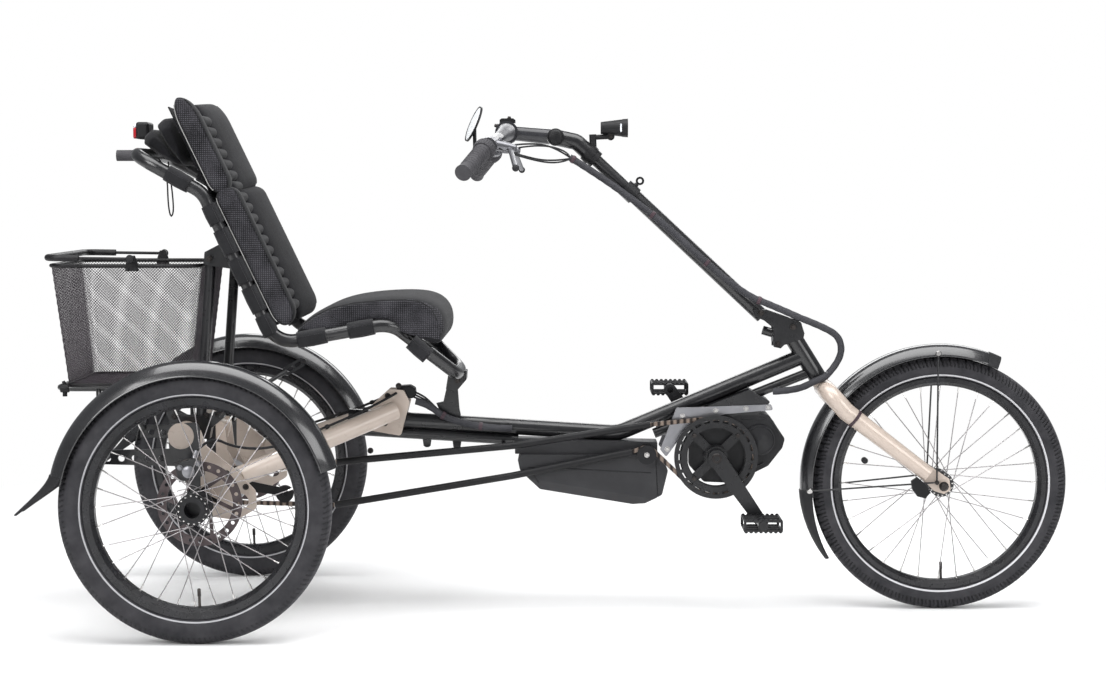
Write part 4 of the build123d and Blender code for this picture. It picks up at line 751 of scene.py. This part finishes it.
SEAT_TOP_LINE = ((164, 313), (174, 330), (202, 351), (236, 367), (280, 377), (335, 382), (382, 383),
                 (416, 379), (441, 366), (455, 343), (456, 316))
SEAT_LOW_LINE = ((170, 305), (192, 311), (228, 319), (265, 328), (305, 336), (340, 340), (370, 336),
                 (398, 316), (418, 297), (436, 287), (449, 297))


def nose_share(x):
    """0 on the seat, rising to 1 at its front edge."""
    return max(0, (x - 360) / 95)


def seat_ring(y_share):
    """Side outline of the seat pad at a share of its half width, -1 to 1."""
    edge = abs(y_share) ** 8
    y = 190 * y_share
    top = [(x - 22 * edge * nose_share(x), z - 13 * edge) for x, z in SEAT_TOP_LINE]
    low = [(x, z + 3 * edge) for x, z in SEAT_LOW_LINE]
    return [rear(x, z, y) for x, z in top + low[::-1]]


sections = [seat_ring(-1 + 2 * k / 36) for k in range(37)]
seat = Build().skin(sections).done("seat_cushion", FABRIC, "seat_fabric", angle=60)
smooth = seat.modifiers.new("round", "SUBSURF")
smooth.levels = smooth.render_levels = 2
seat.data.materials.append(MESH_FABRIC)
for face in seat.data.polygons:
    if abs(face.normal.y) > 0.3:
        face.material_index = 1
seams = Build()
for side in (-1, 1):
    edge = [rear(x - 16 * nose_share(x), z - 6.5, side * 186.5) for x, z in SEAT_TOP_LINE[1:-1]]
    seams.sweep(edge, 1.3, 8)
seams.done("seat_seams", SOFT_RUBBER, "seat_fabric")
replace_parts(seat, "seat_pad")

# Lines that cables and sleeves follow
PIVOT = front(-297.04, 314.03)
MAST_UP = Vector((cos(radians(136.9)), 0, sin(radians(136.9))))
MAST_BASE = PIVOT + Vector((-27, 0, -10)) * MM
CRANK = front(-451, 58)


def on_mast(run, y=0):
    """Place along the mast's centre line, millimetres."""
    return at_y(MAST_BASE + MAST_UP * run * MM, y)


def on_beam(x, up=0, y=0):
    """Place above the main beam's centre, x measured from the rear axle, millimetres."""
    return rear(x, 132 - 0.0611 * (x - 250) + up, y)


KNUCKLE = beside(on_mast(552), -42, 9)
BAR = beside(KNUCKLE, -97, 9)
LAMP = beside(on_mast(506), 41, 58.7)
pivot = partial(beside, PIVOT)
drive = partial(beside, CRANK)
bar = partial(beside, BAR)
lamp = partial(beside, LAMP)


def smooth_route(route, step=4):
    """Places at an even step along a NURBS spline with the route's points as its control points."""
    curve = bpy.data.curves.new("route", "CURVE")
    curve.dimensions = "3D"
    curve.resolution_u = 32
    spline = curve.splines.new("NURBS")
    spline.points.add(len(route) - 1)
    for point, place in zip(spline.points, route):
        point.co = (*place, 1)
    spline.order_u = 3
    spline.use_endpoint_u = True
    holder = bpy.data.objects.new("route", curve)
    mesh = bpy.data.meshes.new_from_object(holder)
    raw = [v.co.copy() for v in mesh.vertices]
    bpy.data.objects.remove(holder)
    bpy.data.meshes.remove(mesh)
    bpy.data.curves.remove(curve)
    reach = [0]
    for a, b in zip(raw, raw[1:]):
        reach.append(reach[-1] + (b - a).length)
    count = max(2, round(reach[-1] / (step * MM)))
    line = []
    k = 0
    for i in range(count + 1):
        want = reach[-1] * i / count
        while k < len(reach) - 2 and reach[k + 1] < want:
            k += 1
        share = (want - reach[k]) / max(1e-9, reach[k + 1] - reach[k])
        line.append(raw[k].lerp(raw[k + 1], min(1, max(0, share))))
    return line


def band(form, place, run, inner, outer, width, steps=28):
    """Flat tie or strap round a bar."""
    half = width / 2
    bulge = outer + (outer - inner) * 0.3
    profile = [(inner, -half), (outer, -half), (bulge, 0), (outer, half), (inner, half)]
    return form.lathe(place, run, profile, steps, closed=True)


# Cable looms: along the mast, the loop to the fork crown, the length to the frame, and the one along the beam
LOOM_R = 6.8
MAST_LOOM = (
    beside(KNUCKLE, 28, -40, -24),
    on_mast(387, -24.8),
    on_mast(120, -37.8),
    pivot(-30, 38, -37.8),
    pivot(12, 19, -37.8),
)
LOOP_PLACES = ((12.3, 18.8, -37.8), (62, 0, -37.8), (94, -22, -37.8), (95, -64, -35.8), (70, -92, -34.8))
LOOP_LOOM = [pivot(*place) for place in LOOP_PLACES]
FRONT_PLACES = ((69.8, -92.2, -34.8), (65, -99, -35), (46, -106, -36), (6, -126, -36), (-40, -128, -34))
FRONT_LOOM = [pivot(*place) for place in FRONT_PLACES]
REAR_PLACES = ((386, 42, -30), (410, 38, -30), (446, 10, -22.6), (520, -4, -22.6), (578, -2, -22.6))
REAR_LOOM = [on_beam(*place) for place in REAR_PLACES]
LOOMS = (
    # name, node, body, body after the bend, route, point of the route where the bend ends
    ("mast_sleeve", "loom_mast", "mast", None, MAST_LOOM, None),
    ("beam_sleeve", "loom_rear", "frame", None, REAR_LOOM, None),
    ("loop_sleeve", "loom_loop", "mast", "fork", LOOP_LOOM, 2),
    ("crown_sleeve", "loom_front", "fork", "frame", FRONT_LOOM, 4),
)
for name, node, body, after, route, last in LOOMS:
    form = Build().sweep(smooth_route(route, 2.4), LOOM_R, 16, braid=True)
    piece = form.done(name, SLEEVE, "cable_sleeve", None if after else body, angle=80)
    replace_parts(piece, node)
    if after:
        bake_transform(piece)


def ties(form, line, shares, inner, outer, steps=28):
    """Ties round a cable at shares of its length."""
    for share in shares:
        i = round(share * (len(line) - 2))
        band(form, line[i], line[i + 1] - line[i], inner, outer, 7, steps)
    return form


LOOM_TIES = (
    # name, body, route, shares of its length
    ("mast_ties", "mast", MAST_LOOM, (0.02, 0.36, 0.62, 0.86)),
    ("beam_ties", "frame", REAR_LOOM, (0.3, 0.7)),
)
for name, body, route, shares in LOOM_TIES:
    form = ties(Build(), smooth_route(route, 8), shares, LOOM_R * 0.9, LOOM_R + 1)
    form.done(name, TIE_PLASTIC, "cable_sleeve", body)

# Basket: woven wire walls and floor, rim wire, lower ring and lugs for the handle
BASKET_MID = -166
BASKET_LOW = 206
BASKET_HIGH = 440
BASKET_TAPER = 27
BASKET_HALF = (146, 165)
FLOOR_PITCH = 6
STRANDS = 196


def tub_place(turn, share):
    """Place on the basket's wall: turn goes once round it, share runs from the floor to the rim."""
    inset = BASKET_TAPER * (1 - share)
    half = [size - inset for size in BASKET_HALF]
    r = 22 + 8 * share
    arc = pi * r / 2
    along = (turn % 1) * (4 * (half[0] + half[1] - 2 * r) + 4 * arc)
    x, y = half[0], r - half[1]
    for k in range(4):
        out = (round(cos(k * pi / 2)), round(sin(k * pi / 2)))
        far, side = half[k % 2], half[1 - k % 2] - r
        if along <= 2 * side:
            go = along - side
            x, y = out[0] * far - out[1] * go, out[1] * far + out[0] * go
            break
        along -= 2 * side
        if along <= arc:
            a = k * pi / 2 + along / r
            x = out[0] * (far - r) - out[1] * side + r * cos(a)
            y = out[1] * (far - r) + out[0] * side + r * sin(a)
            break
        along -= arc
    return rear(BASKET_MID + x, BASKET_LOW + (BASKET_HIGH - BASKET_LOW) * share, y)


weave = Build()
for lean in (-0.2, 0.2):
    for i in range(STRANDS):
        path = [tub_place(i / STRANDS + lean * k / 16, k / 16) for k in range(17)]
        weave.sweep(path, 0.5, 3, caps=False)
floor_x, floor_y = [size - BASKET_TAPER for size in BASKET_HALF]
for lean in (-1, 1):
    for i in range(-42, 43):
        shift = FLOOR_PITCH * i
        low = max(-floor_x, shift - floor_y)
        high = min(floor_x, shift + floor_y)
        if high - low > 20:
            ends = [rear(BASKET_MID + x, BASKET_LOW + 0.8, lean * (x - shift)) for x in (low, high)]
            weave.sweep(ends, 0.5, 3, caps=False)
wire_tub = weave.done("basket_weave", BASKET_WIRE, "basket_mesh", smooth=False)
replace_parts(wire_tub, "basket")
rings = Build()
for share, radius in ((1, 4), (0.012, 2.2)):
    rings.sweep([tub_place(i / 120, share) for i in range(120)], radius, 10, closed=True)
knobs = Build()
lug = ((-13, -10), (13, -10), (11, 6), (6, 20), (-6, 20), (-11, 6))
cap = ((0, 0), (7.5, 0), (8.2, 2), (6.5, 5), (0, 6))
for side in (-1, 1):
    rings.slab(lug, 5, rear(-150, 440, side * 167))
    rings.rod(rear(-150, 454, side * 167), rear(-150, 454, side * 186), 3.5, 14)
    knobs.lathe(rear(-150, 454, side * 184), Y_DIR * side, cap, 20)
    for x in (-158, -142):
        knobs.hex_head(rear(x, 434, side * 169.5), Y_DIR * side, 5, 3)
rings.done("basket_rings", WIRE_BLACK, "basket_mesh")
knobs.done("basket_knobs", SOFT_RUBBER, "basket_mesh")

# Rack pegs that hold the basket
pegs = Build()
for y in (-125, 125):
    for x in (-292, -60):
        pegs.sweep([rear(x, 184, y), rear(x, 206, y), rear(x - 3, 214, y)], [4.5, 4.5, 3], 12)
        band(pegs, rear(x, 199.7, y), X_DIR, 5.8, 8, 16)
pegs.done("rack_pegs", PLASTIC, "black_paint")

# Sling, pouch, rear lamp and rail straps
SLING_HALF = 171


def sling_row(run):
    """One row across the sling, bowed back between the rails."""
    shares = [-1 + k / 12 for k in range(25)]
    return [on_back(run, 10.6 - 5 * (1 - t * t), SLING_HALF * t) for t in shares]


rows = [sling_row(32 + 466 * i / 40) for i in range(41)]
sling = shell(Build(), [[(p, BACK_FWD) for p in row] for row in rows], 2.4)
sling = sling.done("sling_panel", FABRIC, "seat_fabric", angle=60)
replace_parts(sling, "back_sling")
webbing = Build()
for run in (80, 180, 280, 380, 460):
    rows = []
    for i in range(5):
        row = sling_row(run - 14 + 7 * i)
        rows.append([(p - BACK_FWD * 2.6 * MM, BACK_FWD * -1) for p in row])
    shell(webbing, rows, -1.8)
webbing.done("sling_webbing", HOOK_LOOP, "seat_fabric", angle=60)


def leaf(name, outline, half):
    """Stuffed fabric leaf with the outline of its side, closed and rounded at both ends."""
    mid_x = sum(x for x, z in outline) / len(outline)
    mid_z = sum(z for x, z in outline) / len(outline)
    rings = []
    for k in range(15):
        share = -1 + 2 * k / 14
        size = (1 - 0.45 * abs(share) ** 7) * (1 + 0.05 * (1 - share * share))
        side_view = [(mid_x + (x - mid_x) * size, mid_z + (z - mid_z) * size) for x, z in outline]
        rings.append([rear(x, z, half * share) for x, z in side_view])
    piece = Build().skin(rings).done(name, FABRIC, "seat_fabric", angle=70)
    fold = ease(piece, 4, 3)
    fold.limit_method = "ANGLE"
    fold.angle_limit = radians(24)
    return piece


REAR_LEAF = (
    (-142, 676), (-140, 692), (-126, 704), (-112, 694), (-94, 676), (-66, 640), (-74, 634), (-100, 646),
)
FRONT_LEAF = (
    (-116, 712), (-104, 724), (-86, 726), (-76, 708), (-62, 668),
    (-54, 645), (-64, 634), (-80, 652), (-95, 672), (-108, 696),
)
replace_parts(leaf("pouch_back", REAR_LEAF, 98), "head_pouch")
leaf("pouch_front", FRONT_LEAF, 100)

LENSES = (
    # name, outline across and up, glass
    ("rear_lens", ((-26, -13), (-22, -16), (22, -16), (26, -13), (26, 6), (-26, 6)), RED_LENS),
    ("rear_lens_top", ((-26, 6.4), (26, 6.4), (26, 10), (20, 14), (-20, 14), (-26, 10)), CLEAR_LENS),
)
for name, outline, glass in LENSES:
    form = Build().slab(outline, 7, rear(-168, 703), Y_DIR, Z_DIR)
    ease(form.done(name, glass, "red_lens", angle=30), 1.4, 2)
LAMP_WIRE = (
    (-158, 690, 14), (-138, 662, 15), (-112, 622, 15), (-111, 552, 15),
    (-104, 526, 13), (-97, 556, 9), (-108, 642, 4),
)
line = smooth_route([rear(*place) for place in LAMP_WIRE])
Build().sweep(line, 1.6, 8).done("lamp_wire", SOFT_RUBBER, "cable_sleeve")

RAIL_LINE = (SEAT_TOP, SEAT_SHOULDER, SEAT_LOW, SEAT_HUMP, SEAT_NOSE)
RAIL_STRAPS = (
    # stretch of the rail, middle measured along it, width
    (0, 98, 50),
    (1, 46, 40),
    (1, 104, 52),
    (1, 166, 52),
    (1, 226, 52),
    (1, 281, 42),
    (2, 70, 56),
    (2, 166, 50),
    (3, 74, 44),
)
straps = Build()
for stretch, middle_run, width in RAIL_STRAPS:
    start, end = RAIL_LINE[stretch:stretch + 2]
    along = (end - start).normalized()
    half = width / 2
    tab = ((2 - half, -6), (half - 2, -6), (half - 4, 11), (4 - half, 11))
    for side in (-1, 1):
        place = at_y(start + along * middle_run * MM, side * RAIL_Y)
        band(straps, place, along, RAIL_R - 0.4, RAIL_R + 2.6, width)
        outside = place + Y_DIR * (side * (RAIL_R + 3) * MM)
        straps.slab(tab, 2.2, outside, along, Vector((along.z, 0, -along.x)))
straps.done("rail_straps", HOOK_LOOP, "seat_fabric", angle=50)

# Handlebar, levers, lamp glass and mirror glass
paint("handlebar", GRAPHITE)
paint("stem", GRAPHITE)
paint("brake_levers", LEVER_ALLOY)
paint("rear_lamp", PLASTIC)
CONTROLS = (
    # side, route of a cable from a control to the loom, as places from the bar
    (-1, ((20, -27, 172), (62, -22, 140), (102, -34, 70), (125, -49, 24))),
    (-1, ((-10, -34, 182), (40, -50, 148), (88, -58, 80), (124, -52, 24))),
    (1, ((20, -27, 172), (66, -20, 140), (122, -36, 60), (125, -49, -24))),
    (1, ((-10, -34, 182), (42, -52, 148), (104, -62, 60), (126, -52, -24))),
)
cables = Build()
for side, route in CONTROLS:
    cables.sweep(smooth_route([bar(x, z, side * y) for x, z, y in route], 6), 1.8, 8)
cables.done("control_cables", SOFT_RUBBER, "cable_sleeve", "mast")
LEVER_CLAMP = ((-26, -26, 172), (-12, -28, 172), (6, -31, 172), (22, -34, 176))
ball = [(6.8 * sin(pi * k / 10), -6.8 * cos(pi * k / 10)) for k in range(11)]
bodies = Build()
collars = Build()
lever_tips = Build()
swell_ends = Build()
for side in (-1, 1):
    bodies.sweep([bar(x, z, side * y) for x, z, y in LEVER_CLAMP], [10, 11, 9, 6.5], 16)
    bodies.hex_head(bar(-8, -18, side * 172), Vector((0.1, 0, 1)), 6, 5)
    lever_tips.lathe(bar(24, -72, side * 286), Y_DIR * side, ball, 18)
    grip_in = bar(-34, -33, side * 196)
    run = (bar(-72, -80, side * 310) - grip_in).normalized()
    out = run.orthogonal().normalized()
    for k in range(28):
        a = 2 * pi * k / 28
        spoke = out * cos(a) + run.cross(out) * sin(a)
        ends = [grip_in + (run * along + spoke * radius) * MM for along, radius in ((8, 20.9), (22, 19.4))]
        collars.rod(*ends, 1.2, 6)
    for k in range(9):
        radius = 17.5 - 3.5 * (28 + 9 * k) / 124
        band(collars, grip_in + run * (34 + 9 * k) * MM, run, radius - 0.6, radius + 0.5, 3.2, 24)
    knee = at_y(BAR, side * 45)
    run = (grip_in - knee).normalized()
    places = [at_y(BAR, side * 20), at_y(BAR, side * 34), knee, knee + run * 26 * MM, knee + run * 60 * MM]
    swell_ends.sweep(places, [17.5, 18, 16.5, 13.5, 11.4], 28)
bodies.done("lever_bodies", LEVER_ALLOY, "lever_alloy", "mast")
collars.done("grip_ribs", GRIP_RUBBER, "grip_rubber", "mast")
lever_tips.done("lever_tips", SOFT_RUBBER, "lever_alloy", "mast")
swell_ends.done("bar_swell", SATIN_GREY, "alloy", "mast", angle=60)

stem_trim = Build()
stem_bolts = Build()
disc = ((0, 6.4), (6, 6.2), (11, 5), (14.6, 2.6), (15.8, 0), (0, 0))
for side in (-1, 1):
    stem_trim.lathe(at_y(KNUCKLE, side * 21.8), Y_DIR * side, disc, 32)
    for z in (-13, 13):
        stem_bolts.hex_head(bar(-18.5, z, side * 12), Vector((-1, 0, z * 0.02)), 6, 6)
    for x, z, y in ((0, 0, 29), (-64, 28, 25.5), (-30, -34, 25.5)):
        stem_bolts.hex_head(pivot(x, z, side * y), Y_DIR * side, 8, 5)
stem_trim.slab(((-16, 0), (15, 0), (15, 6), (11, 9), (-12, 9), (-16, 6)), 30, bar(2, 19))
band(stem_trim, on_mast(517), MAST_UP, 16.2, 19, 16, 36)
stem_trim.done("stem_caps", PLASTIC, "black_paint", "mast")
stem_bolts.hex_head(bar(5, 28, -8), Vector((0.1, 0, 1)), 6, 4)
stem_bolts.hex_head(lamp(-7, -17, -9), -Y_DIR, 7, 4)
stem_bolts.done("mast_bolts", DARK_STEEL, "alloy", "mast")
collar = on_mast(407)
eyelet = Build().sweep([collar, beside(collar, 14.5, 15.5)], [7, 4.5], 12)
eyelet.lathe(beside(collar, 20, 21.4), Y_DIR, ((4.2, -2), (8.5, -2), (8.5, 2), (4.2, 2)), 24, closed=True)
eyelet.done("collar_eyelet", HUB_BLACK, "black_paint", "mast")

lens = Build().lathe(lamp(24, 0), X_DIR, ((15.9, 0), (15.5, 1.4), (11, 2.3), (5, 2.8), (0, 3)), 32)
slit = ((-1.6, -7), (0, -8.4), (1.6, -7), (1.6, 7), (0, 8.4), (-1.6, 7))
for side in (-1, 1):
    lens.slab(slit, 1.2, lamp(13, 0, side * 17))
lens.done("headlamp_lens", CLEAR_LENS, "lamp_case", "mast")
MIRROR_OUT = Vector((-0.9, -0.22, 0.39))
bulge = ((37.3, 1.25), (36, 1.6), (24, 2), (12, 2.2), (0, 2.3))
# The mirror's face takes the near-white painted reflection colour instead of a mirror finish.
glass = Build().lathe(bar(-80, 26, 338), MIRROR_OUT, bulge, 40)
glass.done("mirror_glass", MIRROR_PAINTED_REFLECTION, "lever_alloy", "mast")

# Drive: motor cover and bolts, crank caps, pedal cages, battery lines, tensioner
ridge = ((30.4, 0), (30.4, 2.2), (27.5, 2.8), (26.5, 1), (12, 1), (10, 2), (0, 2.2))
cover = Build().lathe(drive(88, 32, -45), -Y_DIR, ridge, 48)
for x0, z0, x1, z1 in ((40, -40, 96, -14), (52, 74, 100, 74), (112, 70, 130, 40)):
    cover.sweep([drive(x0, z0, -40), drive(x1, z1, -40)], 2.2, 8)
cover.done("motor_cover", MOTOR_CASE, "motor_case")
drive_bolts = Build()
crank_trim = Build()
cap = ((0, 0), (11, 0), (11, 2), (9, 4), (5, 4), (5, 2.5), (0, 2.5))
for side in (-1, 1):
    for x, z in ((-66, 80), (-96, 14), (0, 91), (60, 95), (104, 97)):
        drive_bolts.hex_head(drive(x, z, side * 44.3), Y_DIR * side, 7, 4.5)
    crank_trim.lathe(at_y(CRANK, side * 84), Y_DIR * side, cap, 24)
drive_bolts.hex_head(drive(-137, 4, -63), -Y_DIR, 7, 4)
drive_bolts.done("motor_bolts", STEEL, "alloy")
for k in range(4):
    crank_trim.hex_head(round_axle(CRANK, 60.8, 90 * (k + 0.5), -66.6), -Y_DIR, 6, 3)
crank_trim.done("crank_caps", DARK_STEEL, "alloy", "crankset")


def pedal_cage(body, node, x, z, side):
    """Open pedal: two toothed side frames, cross bars and a middle barrel round the spindle."""
    def place(px, pz, y):
        return drive(x + px, z + pz, side * y)

    teeth = [(-38, 7.6), (38, 7.6)]
    for k in range(7, -1, -1):
        left = -38 + 9.5 * k
        teeth += [(left + 8.6, 10.6), (left + 6.6, 13.4), (left + 2.9, 13.4), (left + 0.9, 10.6)]
    cage = Build()
    for y in (94.5, 174):
        for top in (-1, 1):
            cage.slab([(a, top * b) for a, b in teeth][::top], 3, place(0, 0, y))
        for mid, half in ((-35.5, 2.5), (35.5, 2.5), (0, 9)):
            web = ((mid - half, -8), (mid + half, -8), (mid + half, 8), (mid - half, 8))
            cage.slab(web, 3, place(0, 0, y))
    for pz in (-9.5, 9.5):
        for px in (-35.5, 35.5):
            cage.rod(place(px, pz, 94), place(px, pz, 174.5), 2.4, 8)
        for y in (108, 134, 160):
            cage.rod(place(-36, pz, y), place(36, pz, y), 2.2, 8)
    cage.rod(place(0, 0, 91), place(0, 0, 177), 9.5, 24)
    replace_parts(cage.done(body + "_cage", HUB_BLACK, "hub_black", body), node)


pedal_cage("right_pedal", "pedal_right", 84.89, -121.23, -1)
pedal_cage("left_pedal", "pedal_left", -84.89, 121.23, 1)

battery_trim = Build()
for x0, z0, x1, z1 in ((-372, -22, -128, -34), (-366, -30, -352, -54)):
    for y in (-45, 45):
        battery_trim.sweep([drive(x0, z0, y), drive(x1, z1, y)], 1.1, 6)
battery_trim.done("battery_trim", SOFT_RUBBER, "battery_case")
tension = Build().slab(((20, 8), (34, 12), (132, -8), (134, -20), (124, -22), (26, -8)), 4, rear(0, 0, -47))
wheel = ((3, -6), (17, -6), (17, -4.6), (13.5, -4.4), (13.5, 4.4), (17, 4.6), (17, 6), (3, 6))
tension.lathe(rear(127, -17, -55), Y_DIR, wheel, 32, closed=True)
tension.hex_head(rear(127, -17, -60), -Y_DIR, 7, 4)
tension.done("chain_tensioner", PLASTIC, "guide_plastic")

# Rear: caliper fittings, brake hoses, cable guide, clamp bolts
HOSE = (
    (-8, 96, 296), (14, 124, 276), (56, 96, 236), (120, 88, 186),
    (200, 117, 133), (300, 156, 69), (348, 182, 30),
)
fittings = Build()
hoses = Build()
for side in (-1, 1):
    for x, z in ((-34, 70), (0, 78)):
        fittings.hex_head(rear(x, z, side * 329), Y_DIR * side, 7, 4.5)
    piston = ((0, 4), (8, 4), (9.5, 3), (11.5, 3), (12, 0))
    fittings.lathe(rear(-18, 62, side * 328.5), Y_DIR * side, piston, 28)
    fittings.rod(rear(-12, 84, side * 300), rear(-8, 98, side * 296), 5, 12, 4)
    line = smooth_route([rear(x, z, side * y) for x, z, y in HOSE], 6)
    hoses.sweep(line, 2.6, 8)
    ties(hoses, line, (0.45, 0.65, 0.85), 2.4, 4, 14)
fittings.done("caliper_fittings", ALLOY, "alloy")
hoses.done("brake_hoses", SOFT_RUBBER, "cable_sleeve")
guide = Build().slab(((-20, -12), (14, -12), (20, -6), (18, 8), (8, 14), (-18, 12)), 34, rear(366, 182))
ease(guide.done("cable_guide", PLASTIC, "guide_plastic", angle=30), 2.5, 3)
leads = Build()
for x, up, y in ((378, 60, -8), (382, 54, -14), (380, 48, -4)):
    lead = (on_beam(x, up, y), on_beam(400, up - 6, y - 10), on_beam(420, 38, -29), on_beam(436, 22, -26))
    leads.sweep(smooth_route(lead), 2, 8)
leads.done("guide_leads", SOFT_RUBBER, "cable_sleeve")
FRAME_BOLTS = (
    # places from the rear axle; each bolt faces outward
    (2, 455, -186), (2, 455, 186), (295, 66, -24.3), (352, 196, -24.3), (330, 176, -24.3), (470, 207, -23),
    (470, 207, 23), (-70, 150, -173), (-8, 152, -173), (-203, 77, -240), (76, 22, -240), (40, 48, -240),
)
frame_bolts = Build()
for x, z, y in FRAME_BOLTS:
    frame_bolts.hex_head(rear(x, z, y), Y_DIR * y, 8, 5)
frame_bolts.done("frame_bolts", DARK_STEEL, "alloy")
tabs = Build()
for x in (407, 467):
    tabs.slab(((-9, 8), (9, 8), (7, -6), (3, -9), (-3, -9), (-7, -6)), 8, on_beam(x, -43))
tabs.done("beam_tabs", BLACK_PAINT, "black_paint", angle=30)

# Front: hub connector, spoke magnet, fork ties and axle nuts
box = ((-64, 10), (-52, 18), (-36, 4), (-26, -12), (-36, -24), (-52, -20), (-62, -6))
connector = Build().slab(box, 12, front(0, 0, -58))
connector.done("hub_connector", PLASTIC, "guide_plastic", "fork", angle=30)
capsule = ((0, -9), (5, -9), (6.2, -7), (6.2, 7), (5, 9), (0, 9))
magnet = Build().lathe(front(-150, 45, -8), Y_DIR, capsule, 20)
magnet.done("spoke_magnet", SOFT_RUBBER, "hub_black", "front_wheel")
fork_trim = Build()
fork_bolts = Build()
for side in (-1, 1):
    band(fork_trim, front(-176, 134, side * 54), Vector((164, 0, -125)), 17.4, 18.9, 6, 36)
    fork_bolts.hex_head(front(0, 0, side * 63), Y_DIR * side, 13, 7)
    fork_bolts.hex_head(front(-14, 8, side * 67), Y_DIR * side, 6, 4)
fork_trim.done("fork_ties", TIE_PLASTIC, "cable_sleeve", "fork")
fork_bolts.done("axle_nuts", DARK_STEEL, "alloy", "fork")

# Studio
FLOOR_SIZE = 30
SHADOW_NEAR = 1.3
SHADOW_FAR = 2.4


def white_floor():
    """Matt floor that shows soft shadows near the object and is plain white to the camera further out."""
    s = Shader("white_floor")
    s.set(Base_Color=s.ramp(s.noise(0.6), (0.86, 0.86, 0.86, 1), (0.9, 0.9, 0.9, 1)))
    s.set(Roughness=0.95, Specular_IOR_Level=0.1)
    reach = s.node("ShaderNodeVectorMath", {0: s.place}, operation="LENGTH").outputs["Value"]
    seen = s.node("ShaderNodeLightPath").outputs["Is Camera Ray"]
    plain = s.math("MULTIPLY", s.span(reach, SHADOW_NEAR, SHADOW_FAR), seen)
    glow = s.node("ShaderNodeEmission").outputs["Emission"]
    mix = s.node("ShaderNodeMixShader", {0: plain, 1: s.bsdf.outputs["BSDF"], 2: glow})
    s.feed(s.tree.nodes["Material Output"].inputs["Surface"], mix.outputs["Shader"])
    return s.material


floor_mesh = bpy.data.meshes.new("floor")
corners = [(x * FLOOR_SIZE, y * FLOOR_SIZE, 0) for x, y in ((-1, -1), (1, -1), (1, 1), (-1, 1))]
floor_mesh.from_pydata(corners, [], [[0, 1, 2, 3]])
floor_mesh.materials.append(white_floor())
floor = bpy.data.objects.new("floor", floor_mesh)
bpy.context.scene.collection.objects.link(floor)


def area_light(name, place, target, size, power):
    """Rectangular light at a place, turned to a target."""
    light = bpy.data.lights.new(name, "AREA")
    light.shape = "RECTANGLE"
    light.size, light.size_y = size
    light.energy = power
    lamp = bpy.data.objects.new(name, light)
    lamp.location = place
    lamp.rotation_euler = (Vector(target) - Vector(place)).to_track_quat("-Z", "Y").to_euler()
    bpy.context.scene.collection.objects.link(lamp)


area_light("overhead", (0, -0.6, 3.6), (0, 0, 0.4), (4.5, 2.6), 185)
area_light("key", (-2.6, -3.6, 2.6), (-0.2, 0, 0.5), (2.2, 2.2), 115)
area_light("fill", (3.2, -3.2, 1.8), (0.2, 0, 0.5), (2, 2), 55)
area_light("back", (0.5, 3.4, 2.4), (0, 0, 0.5), (3.5, 1.5), 60)

world = bpy.data.worlds.new("studio")
bpy.context.scene.world = world
world.use_nodes = True
wt = world.node_tree
sky = wt.nodes["Background"]
sky.inputs["Color"].default_value = (0.9, 0.92, 0.95, 1)
sky.inputs["Strength"].default_value = 0.3
screen = wt.nodes.new("ShaderNodeBackground")
screen.inputs["Color"].default_value = (1, 1, 1, 1)
screen.inputs["Strength"].default_value = 1
path = wt.nodes.new("ShaderNodeLightPath")
blend = wt.nodes.new("ShaderNodeMixShader")
wt.links.new(path.outputs["Is Camera Ray"], blend.inputs["Fac"])
wt.links.new(sky.outputs["Background"], blend.inputs[1])
wt.links.new(screen.outputs["Background"], blend.inputs[2])
wt.links.new(blend.outputs["Shader"], wt.nodes["World Output"].inputs["Surface"])

# Camera at the photograph's place: level swing and downward tilt in radians
CAMERA_PLACE = (0.0111, -4.4912, 0.8527)
CAMERA_SWING = 0.00677
CAMERA_TILT = 0.07063
camera_data = bpy.data.cameras.new("camera")
camera_data.sensor_width = 36
camera_data.lens = 73.22
camera = bpy.data.objects.new("camera", camera_data)
camera.location = CAMERA_PLACE
camera.rotation_euler = (pi / 2 - CAMERA_TILT, 0, CAMERA_SWING)
bpy.context.scene.collection.objects.link(camera)
bpy.context.scene.camera = camera
bpy.context.scene.view_settings.view_transform = "Standard"
